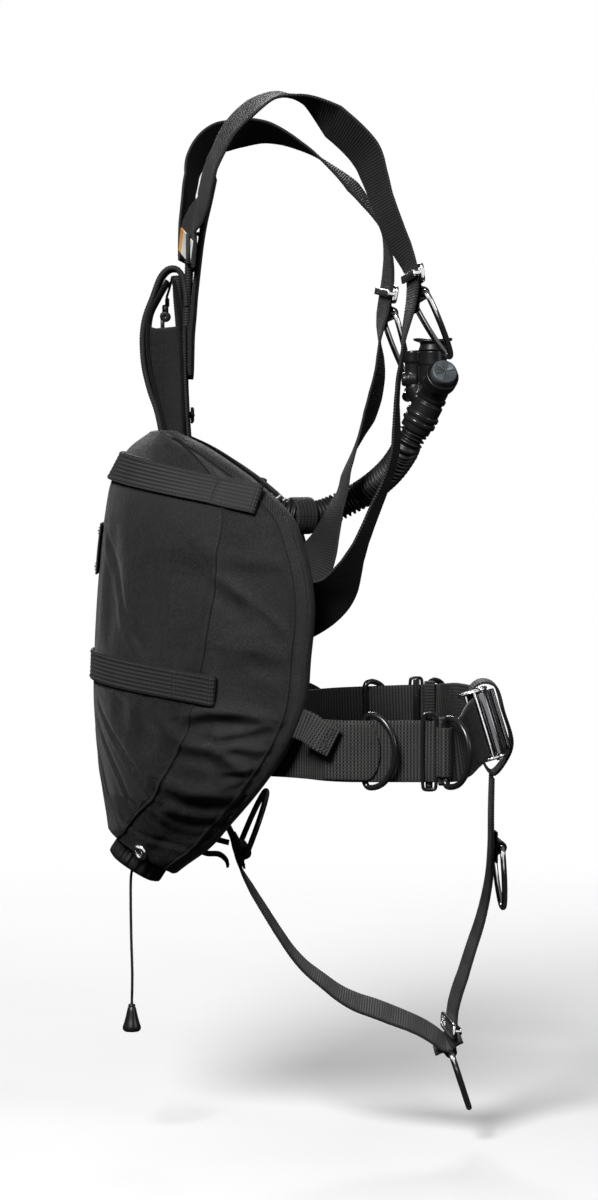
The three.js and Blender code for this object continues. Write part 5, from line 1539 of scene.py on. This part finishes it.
def stage():
    floor_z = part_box("crotch_ring_lower")[0][2] - 0.03
    mesh = bpy.data.meshes.new("floor")
    corners = [(x, y, floor_z) for x, y in ((-9, -9), (9, -9), (9, 9), (-9, 9))]
    mesh.from_pydata(corners, [], [(0, 1, 2, 3)])
    floor = bpy.data.objects.new("floor", mesh)
    bpy.context.scene.collection.objects.link(floor)
    g = Graph("pale_floor")
    tone = g.mix(g.range(g.noise(3, 3), 0.3, 0.7, 0, 1), grey(0.86), grey(0.9))
    material = g.finish(Base_Color=tone, Roughness=0.8)
    centre = g.node("ShaderNodeTexCoord").outputs["Object"]
    away = g.node("ShaderNodeVectorMath", {0: centre}, operation="LENGTH").outputs["Value"]
    fading = g.node("ShaderNodeMixShader", {0: g.range(away, 0.45, 1.9, 0.0, 1.0), 1: g.shader.outputs[0]})
    g.put(fading.inputs[2], g.node("ShaderNodeBsdfTransparent").outputs[0])
    g.put(g.tree.nodes["Material Output"].inputs["Surface"], fading.outputs[0])
    floor.data.materials.append(material)
    floor.visible_glossy = floor.visible_diffuse = False
    studio_world()
    lamps()

    camera = bpy.data.objects.new("camera", bpy.data.cameras.new("camera"))
    camera.data.lens, camera.data.sensor_width = 100.8, 36
    camera.location = (0.065, -2.85, 0.266)
    camera.rotation_euler = (math.radians(86.95), 0, 0)
    bpy.context.scene.collection.objects.link(camera)
    bpy.context.scene.camera = camera
    bpy.context.scene.view_settings.view_transform = "Standard"


def studio_world():
    """White behind the object, but dim for its own light, and dark with a pale top in its reflections."""
    world = bpy.data.worlds.new("studio")
    bpy.context.scene.world = world
    world.use_nodes = True
    tree = world.node_tree
    shade = tree.nodes["Background"]
    seen = tree.nodes.new("ShaderNodeBackground")
    seen.inputs["Color"].default_value = (1, 1, 1, 1)
    rays = tree.nodes.new("ShaderNodeLightPath")
    split = tree.nodes.new("ShaderNodeSeparateXYZ")
    ramp = tree.nodes.new("ShaderNodeMapRange")
    tree.links.new(tree.nodes.new("ShaderNodeTexCoord").outputs["Generated"], split.inputs[0])
    tree.links.new(split.outputs[2], ramp.inputs["Value"])
    for key, value in (("From Min", -0.1), ("From Max", 0.9), ("To Min", 0.02), ("To Max", 0.2)):
        ramp.inputs[key].default_value = value
    tree.links.new(ramp.outputs[0], shade.inputs["Strength"])
    shade.inputs["Color"].default_value = (1, 1, 1, 1)
    mix = tree.nodes.new("ShaderNodeMixShader")
    tree.links.new(rays.outputs["Is Camera Ray"], mix.inputs[0])
    tree.links.new(shade.outputs[0], mix.inputs[1])
    tree.links.new(seen.outputs[0], mix.inputs[2])
    tree.links.new(mix.outputs[0], tree.nodes["World Output"].inputs["Surface"])


def lamps():
    """Three lamps for everything, and two pale cards that only the polished metal reflects."""
    polished = bpy.data.collections.new("polished")
    for obj in bpy.data.objects:
        if obj.type == "MESH" and obj.data.materials and obj.data.materials[0] in (STEEL, DARK_CHROME):
            polished.objects.link(obj)
    for name, place, aim, size, power, only in (
        ("key", (-0.8, -2.3, 1.8), (0, 0, 0.1), 1.0, 112, None),
        ("fill", (2.5, -1.5, 0.9), (0.1, 0, 0.1), 1.0, 10, None),
        ("rim", (-0.2, 2.4, 1.4), (0.05, 0, 0.2), 1.2, 34, None),
        ("card", (0.3, -3.0, 0.8), (0.1, 0, 0.2), 5.0, 75, polished),
        ("side_card", (-3.2, -1.6, 0.6), (0.1, 0, 0.2), 3.6, 45, polished),
    ):
        light = bpy.data.lights.new(name, "AREA")
        light.shape, light.size, light.energy = "DISK", size, power
        lamp = bpy.data.objects.new(name, light)
        lamp.location = place
        lamp.rotation_euler = (Vector(aim) - Vector(place)).to_track_quat("-Z", "Y").to_euler()
        if only:
            lamp.light_linking.receiver_collection = only
        bpy.context.scene.collection.objects.link(lamp)


wing()
wing_fittings()
dump_valve()
hose()
inflator()
shoulder_harness()
trim_pocket()
waist()
crotch()
stage()
